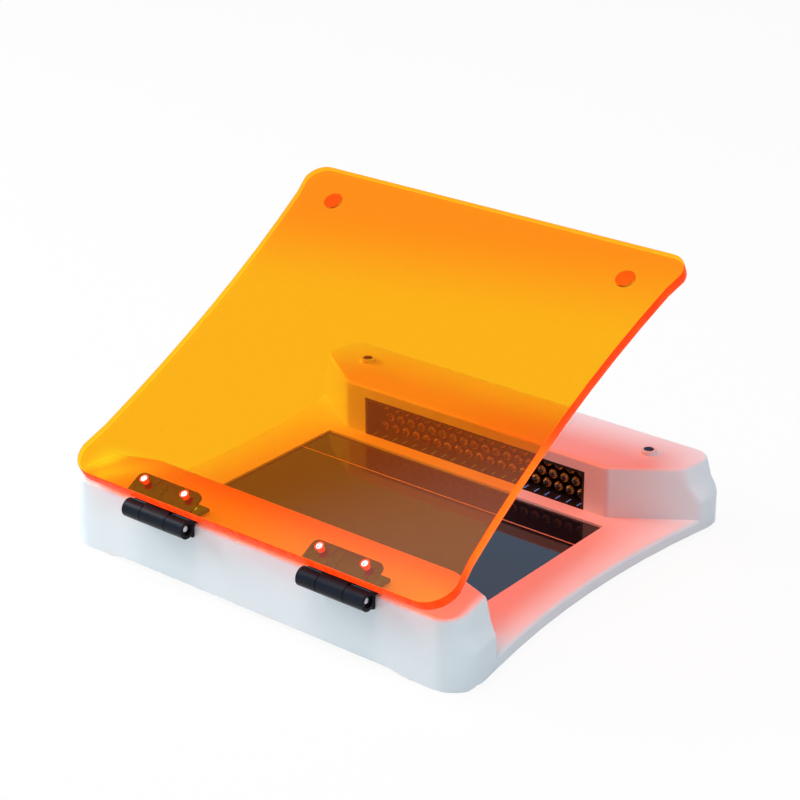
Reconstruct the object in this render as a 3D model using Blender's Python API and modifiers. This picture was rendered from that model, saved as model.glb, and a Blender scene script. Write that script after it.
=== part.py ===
"""A bench transilluminator: a white housing with an LED bar, a dark glass stage and a hinged amber cover.

Sizes are in metres. +Z is up, X runs along the hinge side, and Y runs from the hinge side to the LED bar. The
origin lies in the middle of the floor that the whole object covers. The housing's pieces are placed from the
middle of its own floor, which the empty "housing_frame" carries, and the cover's pieces from the hinge axis,
which the empty "cover_axis" carries. The cover stands open, as it is used.
"""

import math

import bmesh
import bpy
from mathutils import Matrix, Vector

# Fits
GAP = 0.0003
GLASS_GAP = 0.0002
SCREW_PLAY = 0.0003

# Housing in plan
HOUSING_DEPTH = 0.2025
WAIST_HALF_WIDTH = 0.1045
CORNER_FLARE = 0.0111

# Housing in height
PAD_HEIGHT = 0.0003
SKIRT_HEIGHT = 0.0018
DECK_HEIGHT = 0.0075
RIDGE_HEIGHT = 0.0166
BAR_HEIGHT = 0.0326
WALL = 0.0024
DECK_WALL = 0.0020
DECK_ROUNDING = 0.0016
BAR_ROUNDING = 0.0017
FRONT_PAD_LENGTH = 0.0295
FRONT_PAD_RAMP = 0.0127
SIDE_PAD_LENGTH = 0.0113
SIDE_PAD_RAMP = 0.0055

# Hinge bar
HINGE_BAR_DEPTH = 0.0355
HINGE_BAR_ELBOW_TO_SIDE = 0.0205
HINGE_BAR_SPLAY = math.radians(19.5)
HINGE_BAR_CORNER = 0.0145
HINGE_BAR_TOP_CORNER = 0.0095
HINGE_BAR_BASE_END = 0.0006
HINGE_BAR_TOP_END = 0.0040
HINGE_BAR_DRAFT = 0.0007
HINGE_BAR_END_DRAFT = 0.0056

# LED bar
LED_BAR_DEPTH = 0.0472
LED_BAR_ELBOW_TO_SIDE = 0.0286
LED_BAR_SPLAY = math.radians(34.5)
LED_BAR_CORNER = 0.0150
LED_BAR_TOP_CORNER = 0.0095
LED_BAR_BASE_END = 0.0050
LED_BAR_TOP_END = 0.0090
LED_BAR_DRAFT = 0.0046
LED_BAR_END_DRAFT = 0.0056

# Walls of both bars: each height as a share of the rise above the ridge, with its share of the draft
BAR_WALL_SHAPE = ((-0.10, 0.0), (0.08, 0.10), (0.42, 0.58), (0.58, 0.70), (1.0, 1.0))
ELBOW_RADIUS = 0.0060
LEAST_RADIUS = 0.0004

# Glass stage
GLASS_TO_SIDE = 0.0245
GLASS_TO_HINGE_BAR = 0.0080
GLASS_THICKNESS = 0.0018
GLASS_RECESS = 0.0010
GLASS_TO_LED_BAR = 0.0082
STAGE_FLOOR = 0.0010
REAR_STRIP_LENGTH = 0.0205
DIVIDER_WIDTH = 0.0004

# Light window, tray and lamps
WINDOW_TO_ELBOW = 0.0118
WINDOW_HEIGHT = 0.0192
FACE_SKIM = 0.00005
TRAY_WALL = 0.0012
TRAY_DEPTH = 0.0126
TRAY_FLANGE = 0.0032
TRAY_RIB_PITCH = 0.00598
TRAY_RIB_LENGTH = 0.0040
TRAY_RIB_WIDTH = 0.0006
TRAY_RIB_HEIGHT = 0.0003
LAMP_DIAMETER = 0.0050
LAMP_PITCH = 0.0064
LAMP_ROW_PITCH = 0.0054
LAMP_ROWS = 3
LAMP_SHAFT = 0.0046
LAMP_DOME_DEPTH = 0.00225
LAMP_TIP_RADIUS = 0.0010
LAMP_SIDES = 8
LAMP_FLOOR_CLEARANCE = 0.0007
BOARD_THICKNESS = 0.0016
BOARD_MARGIN = 0.0020

# Heat sink and driver board
SINK_BASE = 0.0025
SINK_FIN_REACH = 0.0090
SINK_FIN_THICKNESS = 0.0014
SINK_FIN_COUNT = 14
DRIVER_HEIGHT = 0.0170
DRIVER_RAISE = 0.0035
DRIVER_BOARD_END = 0.0060
DRIVER_BOSS_TO_INLET = 0.0200
DRIVER_BOSS_REACH = 0.0125
DRIVER_BOSS_RADIUS = 0.0030
CHOKE_RADIUS = 0.0060
CHOKE_TO_BOSS = 0.0220
CAPACITOR_RADIUS = 0.0040
CAPACITORS_TO_BOSS = (0.0100, 0.0200)
TALL_PART_REACH = 0.0032
CONTROLLER_WIDTH = 0.0080
CONTROLLER_HEIGHT = 0.0060
CONTROLLER_TO_BOSS = 0.0320
CONTROLLER_REACH = 0.0016

# Latch bosses, magnets and strikes
LATCH_TO_SIDE = 0.0221
LATCH_TO_REAR_WALL = 0.0227
LATCH_BOSS_RADIUS = 0.00365
LATCH_BOSS_HEIGHT = 0.0020
MAGNET_RADIUS = 0.0023
MAGNET_LENGTH = 0.0040
MAGNET_PROUD = 0.0001
STRIKE_RADIUS = 0.0046
DISC_EDGE = 0.0002

# Cover
COVER_OPENING = math.radians(28.6)
COVER_THICKNESS = 0.0050
COVER_SIDE_INSET = 0.0058
COVER_NEAR_FLARE = 0.0060
COVER_FAR_FLARE = 0.0073
COVER_SIDE_SHIFT = 0.0018
COVER_NEAR_OVERHANG = 0.0010
COVER_FAR_INSET = 0.00595
COVER_NEAR_CORNER = 0.0130
COVER_FAR_CORNER = 0.0095
COVER_EDGE_ROUNDING = 0.0010
COVER_TO_BAR = 0.0038

# Hinges
HINGE_TO_SIDE = 0.0545
HINGE_SIDE_SHIFT = 0.0012
HINGE_LENGTH = 0.0354
COVER_LEAF_LENGTH = 0.0370
HINGE_BARREL_RADIUS = 0.0043
HINGE_LEAF_THICKNESS = 0.0014
HINGE_LEAF_INSET = 0.00015
HINGE_LEAF_REACH = 0.0109
HINGE_LEAF_CORNER = 0.0030
HINGE_LEAF_NEAR_CORNER = 0.0006
HINGE_MIDDLE_KNUCKLE = 0.0144
HINGE_KNUCKLE_GAP = 0.0003
HINGE_AXIS_DROP = 0.0010
HINGE_PIN_RADIUS = 0.0015
HINGE_PIN_RECESS = 0.0010
HINGE_PIN_CHAMFER = 0.0003
HINGE_SOCKET_RADIUS = 0.0027
HINGE_PAD_THICKNESS = 0.0013
HINGE_PAD_DROP = 0.0049
HINGE_ARM_LAP = 0.0004
HINGE_ARM_DROP = 0.0001
HINGE_SCREW_SPACING = 0.0240
HINGE_SCREW_INSET = 0.0066
LEAF_POCKET_DEPTH = 0.0006
LEAF_POCKET_HALF_WIDTH = 0.0065
LEAF_POCKET_RIM = 0.0016
LEAF_POCKET_RIB = ((-1.0, -0.35), (-0.20, 1.0))
LEAF_END_POCKET = 2.4

# Fasteners
SCREW_RADIUS = 0.0012
SCREW_RECESS_DEPTH = 0.00035
SCREW_RECESS_SHARES = (0.38, 0.45)
SCREW_HEAD_EDGE = 0.0002
COVER_SCREW_HEAD_RADIUS = 0.0016
COVER_SCREW_HEAD_HEIGHT = 0.0010
LEAF_SCREW_HEAD_RADIUS = 0.0019
LEAF_SCREW_HEAD_HEIGHT = 0.0008
LEAF_SCREW_LENGTH = 0.0075
PLATE_SCREW_HEAD_RADIUS = 0.0024
PLATE_SCREW_HEAD_HEIGHT = 0.0009
PLATE_SCREW_LENGTH = 0.0095
PLATE_SCREW_TO_SIDE = 0.0265
PLATE_SCREW_TO_WALL = 0.0100
SCREW_BOSS_RADIUS = 0.0034
DRIVER_SCREW_LENGTH = 0.0048
DRIVER_SCREW_HEAD_RADIUS = 0.0021
DRIVER_SCREW_HEAD_HEIGHT = 0.0012

# Bottom plate and feet
PLATE_THICKNESS = 0.0012
FOOT_RADIUS = 0.0060
FOOT_EDGE = 0.0004
FOOT_STEM_RADIUS = 0.0022
FOOT_STEM_REACH = 0.0010
FOOT_TO_SIDE = 0.0080
FOOT_TO_WALL = 0.0110
VENT_COUNT = 9
VENT_PITCH = 0.0080
VENT_WIDTH = 0.0022
VENT_LENGTH = 0.0140

# Power inlet and switch
INLET_TO_SIDE = 0.0425
INLET_HEIGHT = 0.0100
INLET_RADIUS = 0.0039
INLET_FLANGE_RADIUS = 0.0052
INLET_FLANGE = 0.0015
INLET_DEPTH = 0.0110
INLET_BORE_RADIUS = 0.0029
INLET_BORE_DEPTH = 0.0090
INLET_PIN_RADIUS = 0.0010
INLET_PIN_DROP = 0.0020
INLET_NUT_RADIUS = 0.0058
INLET_NUT_THICKNESS = 0.0020
SWITCH_HEIGHT = 0.0100
SWITCH_FLANGE_WIDTH = 0.0150
SWITCH_FLANGE_HEIGHT = 0.0105
SWITCH_BODY_WIDTH = 0.0132
SWITCH_BODY_HEIGHT = 0.0088
SWITCH_BODY_DEPTH = 0.0085
ROCKER_WIDTH = 0.0100
ROCKER_HEIGHT = 0.0060
ROCKER_TILT = math.radians(8.0)
ROCKER_PLAY = 0.00045
ROCKER_PIN_RADIUS = 0.0007
ROCKER_PIN_REACH = 0.0007
ROCKER_RISE = 0.0024
ROCKER_AXIS_DEPTH = 0.0018
ROCKER_POCKET_DEPTH = 0.0054

# Roundness
CORNER_STEPS = 7
END_STEPS = 4
ELBOW_STEPS = 2
WAIST_STEPS = 8
ROUNDING_STEPS = 3
NEAR_CORNER_STEPS = 2
SHARP_ANGLE = math.radians(32)

# Nearest that two points of a mesh stay apart
MERGE_DISTANCE = 0.000001
TURNING_MERGE_DISTANCE = 0.00001

# Directions
UP = (0, 0, 1)
DOWN = (0, 0, -1)

# Places that follow from the sizes above
HALF_DEPTH = HOUSING_DEPTH / 2
FLARE_RATE = CORNER_FLARE / HALF_DEPTH**2
HINGE_BAR_ELBOW = WAIST_HALF_WIDTH - HINGE_BAR_ELBOW_TO_SIDE
LED_BAR_ELBOW = WAIST_HALF_WIDTH - LED_BAR_ELBOW_TO_SIDE
PLATE_TOP = SKIRT_HEIGHT + PLATE_THICKNESS
STAGE_UNDERSIDE = PLATE_TOP + GAP
STAGE_TOP = STAGE_UNDERSIDE + STAGE_FLOOR
GLASS_TOP = DECK_HEIGHT - GLASS_RECESS
LED_FACE_Y = HALF_DEPTH - LED_BAR_DEPTH
WINDOW_WIDTH = 2 * (LED_BAR_ELBOW - WINDOW_TO_ELBOW)
GLASS_WIDTH = 2 * (WAIST_HALF_WIDTH - GLASS_TO_SIDE)
GLASS_REAR_Y = LED_FACE_Y - GLASS_TO_LED_BAR
GLASS_FRONT_Y = -HALF_DEPTH + HINGE_BAR_DEPTH + GLASS_TO_HINGE_BAR
LATCH_HALF_SPACING = WAIST_HALF_WIDTH - LATCH_TO_SIDE
LATCH_Y = HALF_DEPTH - LATCH_TO_REAR_WALL
LATCH_TOP = BAR_HEIGHT + LATCH_BOSS_HEIGHT
HINGE_AXIS_Z = BAR_HEIGHT - HINGE_AXIS_DROP
HINGE_AXIS_Y = -HALF_DEPTH + HINGE_BAR_DRAFT - GAP - HINGE_BARREL_RADIUS
HINGE_HALF_SPACING = WAIST_HALF_WIDTH - HINGE_TO_SIDE
COVER_WAIST_HALF_WIDTH = WAIST_HALF_WIDTH - COVER_SIDE_INSET
COVER_UNDERSIDE = BAR_HEIGHT + COVER_TO_BAR
COVER_NEAR_Y = -HALF_DEPTH - COVER_NEAR_OVERHANG
COVER_FAR_Y = HALF_DEPTH - COVER_FAR_INSET
BASE_LEAF_TOP = BAR_HEIGHT + GAP + HINGE_LEAF_THICKNESS
COVER_LEAF_TOP = COVER_UNDERSIDE - GAP
LEAF_NEAR_Y = -HALF_DEPTH + HINGE_LEAF_INSET
LEAF_FAR_Y = LEAF_NEAR_Y + HINGE_LEAF_REACH
HINGE_SCREW_Y = LEAF_NEAR_Y + HINGE_SCREW_INSET
PLATE_SCREW_HALF_SPACING = WAIST_HALF_WIDTH - PLATE_SCREW_TO_SIDE
FOOT_HALF_SPACING = WAIST_HALF_WIDTH - FOOT_TO_SIDE
INLET_X = WAIST_HALF_WIDTH - INLET_TO_SIDE
SWITCH_X = -INLET_X
DRIVER_BOSS_X = INLET_X - DRIVER_BOSS_TO_INLET
TRAY_FRONT_Y = LED_FACE_Y + GAP
TRAY_REAR_Y = TRAY_FRONT_Y + TRAY_DEPTH
LED_BOARD_Y = TRAY_REAR_Y + GAP
SINK_Y = LED_BOARD_Y + BOARD_THICKNESS + GAP
DRIVER_Y = HALF_DEPTH - WALL - DRIVER_BOSS_REACH - GAP - BOARD_THICKNESS
ROCKER_TIP = ROCKER_WIDTH / 2 * math.sin(ROCKER_TILT) + ROCKER_RISE * math.cos(ROCKER_TILT)
ROCKER_PROUD = ROCKER_TIP - ROCKER_AXIS_DEPTH
REAR_REACH = GAP + INLET_FLANGE + ROCKER_PROUD
HOUSING_MIDDLE_Y = -(HINGE_AXIS_Y - HINGE_BARREL_RADIUS + HALF_DEPTH + REAR_REACH) / 2


def clear_scene():
    """Empties the scene, so that only this object is left in it."""
    for item in list(bpy.data.objects):
        bpy.data.objects.remove(item, do_unlink=True)


def new_collection(name, hidden=False):
    """A collection linked to the scene."""
    group = bpy.data.collections.new(name)
    bpy.context.scene.collection.children.link(group)
    group.hide_render = hidden
    return group


def new_empty(name, parent=None, location=(0, 0, 0), rotation=(0, 0, 0)):
    """An empty that carries pieces."""
    empty = bpy.data.objects.new(name, None)
    empty.parent = parent
    empty.location = location
    empty.rotation_euler = rotation
    PARTS.objects.link(empty)
    return empty


def new_material(name, color, roughness, metallic=0.0, alpha=1.0):
    """A plain surface of one colour."""
    surface = bpy.data.materials.new(name)
    surface.use_nodes = True
    shader = surface.node_tree.nodes["Principled BSDF"]
    shader.inputs["Base Color"].default_value = (*color, 1.0)
    shader.inputs["Roughness"].default_value = roughness
    shader.inputs["Metallic"].default_value = metallic
    shader.inputs["Alpha"].default_value = alpha
    return surface


def add_object(name, mesh, carrier, surface=None):
    """Links a mesh as a visible part, or as a cutter where it has no surface."""
    item = bpy.data.objects.new(name, mesh)
    item.parent = carrier
    if surface is None:
        CUTTERS.objects.link(item)
        item.hide_render = True
        item.display_type = "WIRE"
    else:
        PARTS.objects.link(item)
        mesh.materials.append(surface)
        mesh.shade_smooth()
        mesh.set_sharp_from_angle(angle=SHARP_ANGLE)
    return item


def finish_mesh(bm, name):
    """Turns a bmesh into a mesh whose faces point outwards."""
    bmesh.ops.recalc_face_normals(bm, faces=bm.faces)
    mesh = bpy.data.meshes.new(name)
    bm.to_mesh(mesh)
    bm.free()
    return mesh


def box_mesh(name, low, high):
    """A block between two corners."""
    bm = bmesh.new()
    low, high = Vector(low), Vector(high)
    size = high - low
    place = Matrix.Translation((low + high) / 2) @ Matrix.Diagonal((*size, 1))
    bmesh.ops.create_cube(bm, size=1, matrix=place)
    return finish_mesh(bm, name)


def rod_mesh(name, start, end, radius, end_radius=None, segments=20):
    """A round rod, or a cone, from one point to another."""
    start, end = Vector(start), Vector(end)
    along = end - start
    turn = along.to_track_quat("Z", "Y").to_matrix().to_4x4()
    place = Matrix.Translation((start + end) / 2) @ turn
    bm = bmesh.new()
    bmesh.ops.create_cone(
        bm,
        cap_ends=True,
        segments=segments,
        radius1=radius,
        radius2=radius if end_radius is None else end_radius,
        depth=along.length,
        matrix=place,
    )
    return finish_mesh(bm, name)


def sink_mesh(name, face, outward, head_radius, head_height, segments=12):
    """A cone that sinks a screw head into a face, and whose tip ends inside the screw's hole."""
    face, outward = Vector(face), Vector(outward)
    slope = (head_radius - SCREW_RADIUS) / head_height
    inner = face - outward * (head_height + SCREW_PLAY / slope)
    rim = head_radius + SCREW_PLAY + slope * GAP
    return rod_mesh(name, inner, face + outward * GAP, SCREW_RADIUS, rim, segments)


def loft_mesh(name, rings):
    """A closed skin over rings that have the same number of points."""
    bm = bmesh.new()
    rows = [[bm.verts.new(point) for point in ring] for ring in rings]
    for lower, upper in zip(rows, rows[1:]):
        for i in range(len(lower)):
            after = (i + 1) % len(lower)
            bm.faces.new((lower[i], lower[after], upper[after], upper[i]))
    bm.faces.new(rows[0])
    bm.faces.new(rows[-1])
    return finish_mesh(bm, name)


def plate_mesh(name, outline, bottom, thickness):
    """A flat plate with the given outline, lying at a height."""
    curve = bpy.data.curves.new(name, "CURVE")
    curve.dimensions = "2D"
    curve.fill_mode = "BOTH"
    curve.extrude = thickness / 2
    spline = curve.splines.new("POLY")
    spline.points.add(len(outline) - 1)
    for point, place in zip(spline.points, outline):
        point.co = (place.x, place.y, 0, 1)
    spline.use_cyclic_u = True
    source = bpy.data.objects.new(name + "_outline", curve)
    CUTTERS.objects.link(source)
    graph = bpy.context.evaluated_depsgraph_get()
    mesh = bpy.data.meshes.new_from_object(source.evaluated_get(graph))
    bpy.data.objects.remove(source, do_unlink=True)
    bm = bmesh.new()
    bm.from_mesh(mesh)
    bmesh.ops.remove_doubles(bm, verts=bm.verts, dist=MERGE_DISTANCE)
    bmesh.ops.translate(bm, verts=bm.verts, vec=(0, 0, bottom + thickness / 2))
    bm.to_mesh(mesh)
    bm.free()
    mesh.name = name
    return mesh


def turned_object(name, profile, segments, carrier, surface, location, rotation=(0, 0, 0)):
    """A turned piece: its profile of (radius, height) points, down the outer side, is swept round Z."""
    mesh = bpy.data.meshes.new(name)
    points = [(radius, 0, height) for radius, height in profile]
    mesh.from_pydata(points, [(i, i + 1) for i in range(len(points) - 1)], [])
    item = add_object(name, mesh, carrier, surface)
    screw = item.modifiers.new("turn", "SCREW")
    screw.axis = "Z"
    screw.steps = segments
    screw.render_steps = segments
    screw.use_merge_vertices = True
    screw.merge_threshold = TURNING_MERGE_DISTANCE
    screw.use_smooth_shade = True
    item.location = location
    item.rotation_euler = rotation
    return item


def join_with(item, operation, meshes, carrier):
    """Joins shapes to an object, or cuts them from it, as one Boolean with a collection of their own."""
    group = bpy.data.collections.new(f"{item.name}_{operation.lower()}_{len(item.modifiers)}")
    CUTTERS.children.link(group)
    for mesh in meshes:
        tool = bpy.data.objects.new(mesh.name, mesh)
        tool.parent = carrier
        tool.hide_render = True
        tool.display_type = "WIRE"
        group.objects.link(tool)
    step = item.modifiers.new(group.name, "BOOLEAN")
    step.operation = operation
    step.solver = "EXACT"
    step.operand_type = "COLLECTION"
    step.collection = group
    return step


def bevel_edges(item, width, segments=1, angle=50):
    """Rounds the sharp edges of an object."""
    step = item.modifiers.new("edges", "BEVEL")
    step.width = width
    step.segments = segments
    step.limit_method = "ANGLE"
    step.angle_limit = math.radians(angle)


def rounded_outline(corners, radii, steps):
    """The outline of a polygon with an arc at each corner, with the same number of points for any radius."""
    outline = []
    for i, corner in enumerate(corners):
        to_last = (corners[i - 1] - corner).normalized()
        to_next = (corners[(i + 1) % len(corners)] - corner).normalized()
        half = to_last.angle(to_next) / 2
        centre = corner + (to_last + to_next).normalized() * (radii[i] / math.sin(half))
        first = corner + to_last * (radii[i] / math.tan(half)) - centre
        turn = math.copysign(math.pi - 2 * half, -to_last.cross(to_next))
        for k in range(steps[i] + 1):
            outline.append(centre + Matrix.Rotation(turn * k / steps[i], 2) @ first)
    return outline


def inset_outline(outline, distance):
    """The outline moved inwards by a distance, for outlines that run anticlockwise."""
    moved = []
    for i, point in enumerate(outline):
        before = (point - outline[i - 1]).normalized()
        after = (outline[(i + 1) % len(outline)] - point).normalized()
        inner_before = Vector((-before.y, before.x))
        inner_after = Vector((-after.y, after.x))
        mitre = (inner_before + inner_after) / (1 + inner_before.dot(inner_after))
        moved.append(point + mitre * distance)
    return moved


def ring_at(outline, height):
    """The points of an outline, lifted to a height."""
    return [Vector((point.x, point.y, height)) for point in outline]


def side_x(y):
    """How far the housing's waisted side is from the middle."""
    return WAIST_HALF_WIDTH + FLARE_RATE * y * y


class Bar:
    """One of the two raised bars: a long form with splayed ends that flow into the housing's corners."""

    def __init__(self, side, depth, elbow, splay, corner, top_corner, base_end, top_end, draft, end_draft):
        self.side = side
        self.depth = depth
        self.elbow = elbow
        self.splay = splay
        self.corner = corner
        self.top_corner = top_corner
        self.base_end = base_end
        self.top_end = top_end
        self.draft = draft
        self.end_draft = end_draft

    def end_point(self):
        """Where the splayed end meets the housing's side, seen on the side of positive Y."""
        run = 1 / math.tan(self.splay)
        rest = WAIST_HALF_WIDTH - self.elbow + (HALF_DEPTH - self.depth) * run
        y = (run - math.sqrt(run * run - 4 * FLARE_RATE * rest)) / (2 * FLARE_RATE)
        return Vector((side_x(y), y))

    def corners(self, outer, end, inner):
        """The right half's elbow, end and outer corner, with each wall moved inwards."""
        run = 1 / math.tan(self.splay)
        slope = 2 * FLARE_RATE * self.end_point().y
        elbow = Vector((self.elbow - inner * math.tan(self.splay / 2), HALF_DEPTH - self.depth + inner))
        side_start = self.end_point().x - end - slope * self.end_point().y
        end_y = (side_start - elbow.x + elbow.y * run) / (run - slope)
        outer_y = HALF_DEPTH - outer
        return [
            elbow,
            Vector((side_start + slope * end_y, end_y)),
            Vector((side_start + slope * outer_y, outer_y)),
        ]

    def outline(self, share, inset):
        """The outline at a share of the draft, 0 at the base and 1 at the top, moved inwards all round."""
        right = self.corners(self.draft * share + inset, self.end_draft * share + inset, inset)
        left = [Vector((-corner.x, corner.y)) for corner in reversed(right)]
        elbow = max(ELBOW_RADIUS - inset, LEAST_RADIUS)
        end = max(self.base_end + (self.top_end - self.base_end) * share - inset, LEAST_RADIUS)
        outer = self.corner + (self.top_corner - self.corner) * share - inset
        radii = [elbow, end, outer, outer, end, elbow]
        steps = [ELBOW_STEPS, END_STEPS, CORNER_STEPS, CORNER_STEPS, END_STEPS, ELBOW_STEPS]
        outline = rounded_outline(right + left, radii, steps)
        if self.side < 0:
            outline = [Vector((point.x, -point.y)) for point in reversed(outline)]
        return outline

    def corner_arc(self, left):
        """The points of one outer corner at the base, in anticlockwise order."""
        start = ELBOW_STEPS + 1 + END_STEPS + 1
        arcs = self.outline(0, 0)
        if self.side < 0:
            arcs = list(reversed(arcs))
        if left:
            start += CORNER_STEPS + 1
        arc = arcs[start : start + CORNER_STEPS + 1]
        return list(reversed(arc)) if self.side < 0 else arc

    def profile(self):
        """The heights of the outer walls with their shares of the draft: ridge, shoulder, steep wall."""
        rise = BAR_HEIGHT - BAR_ROUNDING - RIDGE_HEIGHT
        return [(RIDGE_HEIGHT + height * rise, draft) for height, draft in BAR_WALL_SHAPE]

    def form(self, name):
        """The solid bar, from the pads to its rounded top."""
        rings = [ring_at(self.outline(0, 0), PAD_HEIGHT)]
        rings += [ring_at(self.outline(share, 0), height) for height, share in self.profile()]
        for k in range(1, ROUNDING_STEPS + 1):
            turn = math.pi / 2 * k / ROUNDING_STEPS
            height = BAR_HEIGHT - BAR_ROUNDING * (1 - math.sin(turn))
            rings.append(ring_at(self.outline(1, BAR_ROUNDING * (1 - math.cos(turn))), height))
        return loft_mesh(name, rings)

    def hollow(self, name):
        """The space inside the bar, open below."""
        rings = [ring_at(self.outline(0, WALL), -PAD_HEIGHT)]
        rings += [ring_at(self.outline(share, WALL), height) for height, share in self.profile()[:-1]]
        rings.append(ring_at(self.outline(1, WALL), BAR_HEIGHT - WALL))
        return loft_mesh(name, rings)


def base_outline():
    """The waisted outline of the whole housing, anticlockwise from the front right end of the waist."""
    front = HINGE_BAR.end_point()
    rear = LED_BAR.end_point()
    right = []
    for k in range(WAIST_STEPS + 1):
        y = -front.y + (rear.y + front.y) * k / WAIST_STEPS
        right.append(Vector((side_x(y), y)))
    left = [Vector((-point.x, point.y)) for point in reversed(right)]
    rear_arcs = LED_BAR.corner_arc(False) + LED_BAR.corner_arc(True)
    front_arcs = HINGE_BAR.corner_arc(True) + HINGE_BAR.corner_arc(False)
    return right + rear_arcs + left + front_arcs


def slab_form():
    """The low slab under the deck, with its rounded deck edge."""
    outline = base_outline()
    rings = [ring_at(outline, PAD_HEIGHT), ring_at(outline, DECK_HEIGHT - DECK_ROUNDING)]
    for k in range(1, ROUNDING_STEPS + 1):
        turn = math.pi / 2 * k / ROUNDING_STEPS
        inset = DECK_ROUNDING * (1 - math.cos(turn))
        height = DECK_HEIGHT - DECK_ROUNDING * (1 - math.sin(turn))
        rings.append(ring_at(inset_outline(outline, inset), height))
    return loft_mesh("slab_form", rings)


def skirt_relief(name, half_length, ramp, reach, turned):
    """A cutter that lifts the skirt between the corner pads, with a ramp down to each pad."""
    lower = half_length + ramp
    profile = [
        (-lower, -PAD_HEIGHT),
        (lower, -PAD_HEIGHT),
        (half_length, SKIRT_HEIGHT),
        (-half_length, SKIRT_HEIGHT),
    ]
    rings = []
    for across in (-reach, reach):
        if turned:
            rings.append([Vector((across, along, height)) for along, height in profile])
        else:
            rings.append([Vector((along, across, height)) for along, height in profile])
    return loft_mesh(name, rings)


def plate_screw_places():
    """Where the bottom plate's screws are, in plan."""
    front = -HALF_DEPTH + PLATE_SCREW_TO_WALL
    rear = HALF_DEPTH - PLATE_SCREW_TO_WALL
    columns = (-PLATE_SCREW_HALF_SPACING, 0, PLATE_SCREW_HALF_SPACING)
    return [(x, y) for y in (front, rear) for x in columns]


def foot_places():
    """Where the feet are, in plan."""
    front = -HALF_DEPTH + FOOT_TO_WALL
    rear = HALF_DEPTH - FOOT_TO_WALL
    return [(x, y) for y in (front, rear) for x in (-FOOT_HALF_SPACING, FOOT_HALF_SPACING)]


def hinge_places():
    """Where the two hinges are along X, by name; they sit a little to one side, as the cover does."""
    return {
        "left": HINGE_SIDE_SHIFT - HINGE_HALF_SPACING,
        "right": HINGE_SIDE_SHIFT + HINGE_HALF_SPACING,
    }


def hinge_screw_places():
    """Where the hinge screws are along X."""
    return [
        hinge + screw
        for hinge in hinge_places().values()
        for screw in (-HINGE_SCREW_SPACING / 2, HINGE_SCREW_SPACING / 2)
    ]


def make_shell(carrier, surface):
    """The moulded housing: slab and bars, hollowed from below, with its bosses and openings."""
    shell = add_object("housing_shell", slab_form(), carrier, surface)
    join_with(shell, "UNION", [HINGE_BAR.form("hinge_bar_form")], carrier)
    join_with(shell, "UNION", [LED_BAR.form("led_bar_form")], carrier)
    slab_hollow = inset_outline(base_outline(), WALL)
    hollow_top = DECK_HEIGHT - DECK_WALL
    front_start = WAIST_HALF_WIDTH - FRONT_PAD_LENGTH
    side_start = HALF_DEPTH - SIDE_PAD_LENGTH
    hollows = [
        plate_mesh("slab_hollow", slab_hollow, -PAD_HEIGHT, hollow_top + PAD_HEIGHT),
        HINGE_BAR.hollow("hinge_bar_hollow"),
        LED_BAR.hollow("led_bar_hollow"),
        skirt_relief("front_relief", front_start, FRONT_PAD_RAMP, HOUSING_DEPTH, False),
        skirt_relief("side_relief", side_start, SIDE_PAD_RAMP, 2 * WAIST_HALF_WIDTH, True),
    ]
    join_with(shell, "DIFFERENCE", hollows, carrier)
    join_with(shell, "UNION", shell_bosses(), carrier)
    join_with(shell, "DIFFERENCE", shell_holes(), carrier)
    return shell


def shell_bosses():
    """The stage under the glass and the bosses that take screws and magnets."""
    roof = BAR_HEIGHT - WALL / 2
    half_stage = GLASS_WIDTH / 2 + GLASS_GAP + WALL
    bosses = [
        box_mesh(
            "stage_bed",
            (-half_stage, GLASS_FRONT_Y - GLASS_GAP - WALL, STAGE_UNDERSIDE),
            (half_stage, LED_FACE_Y + WALL / 2, DECK_HEIGHT - DECK_WALL / 2),
        )
    ]
    for x, y in plate_screw_places():
        bosses.append(rod_mesh("screw_boss", (x, y, STAGE_UNDERSIDE), (x, y, roof), SCREW_BOSS_RADIUS))
    for x in hinge_screw_places():
        low = BAR_HEIGHT - WALL - LEAF_SCREW_LENGTH
        start = (x, HINGE_SCREW_Y, low)
        end = (x, HINGE_SCREW_Y, roof)
        bosses.append(rod_mesh("hinge_boss", start, end, SCREW_BOSS_RADIUS - SCREW_PLAY))
    for x in (-LATCH_HALF_SPACING, LATCH_HALF_SPACING):
        low = LATCH_TOP - MAGNET_LENGTH - WALL
        start = (x, LATCH_Y, low)
        bosses.append(rod_mesh("latch_boss", start, (x, LATCH_Y, LATCH_TOP), LATCH_BOSS_RADIUS, segments=24))
    for x in (-DRIVER_BOSS_X, DRIVER_BOSS_X):
        start = (x, HALF_DEPTH - WALL / 2, INLET_HEIGHT)
        end = (x, DRIVER_Y + BOARD_THICKNESS + GAP, INLET_HEIGHT)
        bosses.append(rod_mesh("driver_boss", start, end, DRIVER_BOSS_RADIUS, segments=16))
    return bosses


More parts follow.
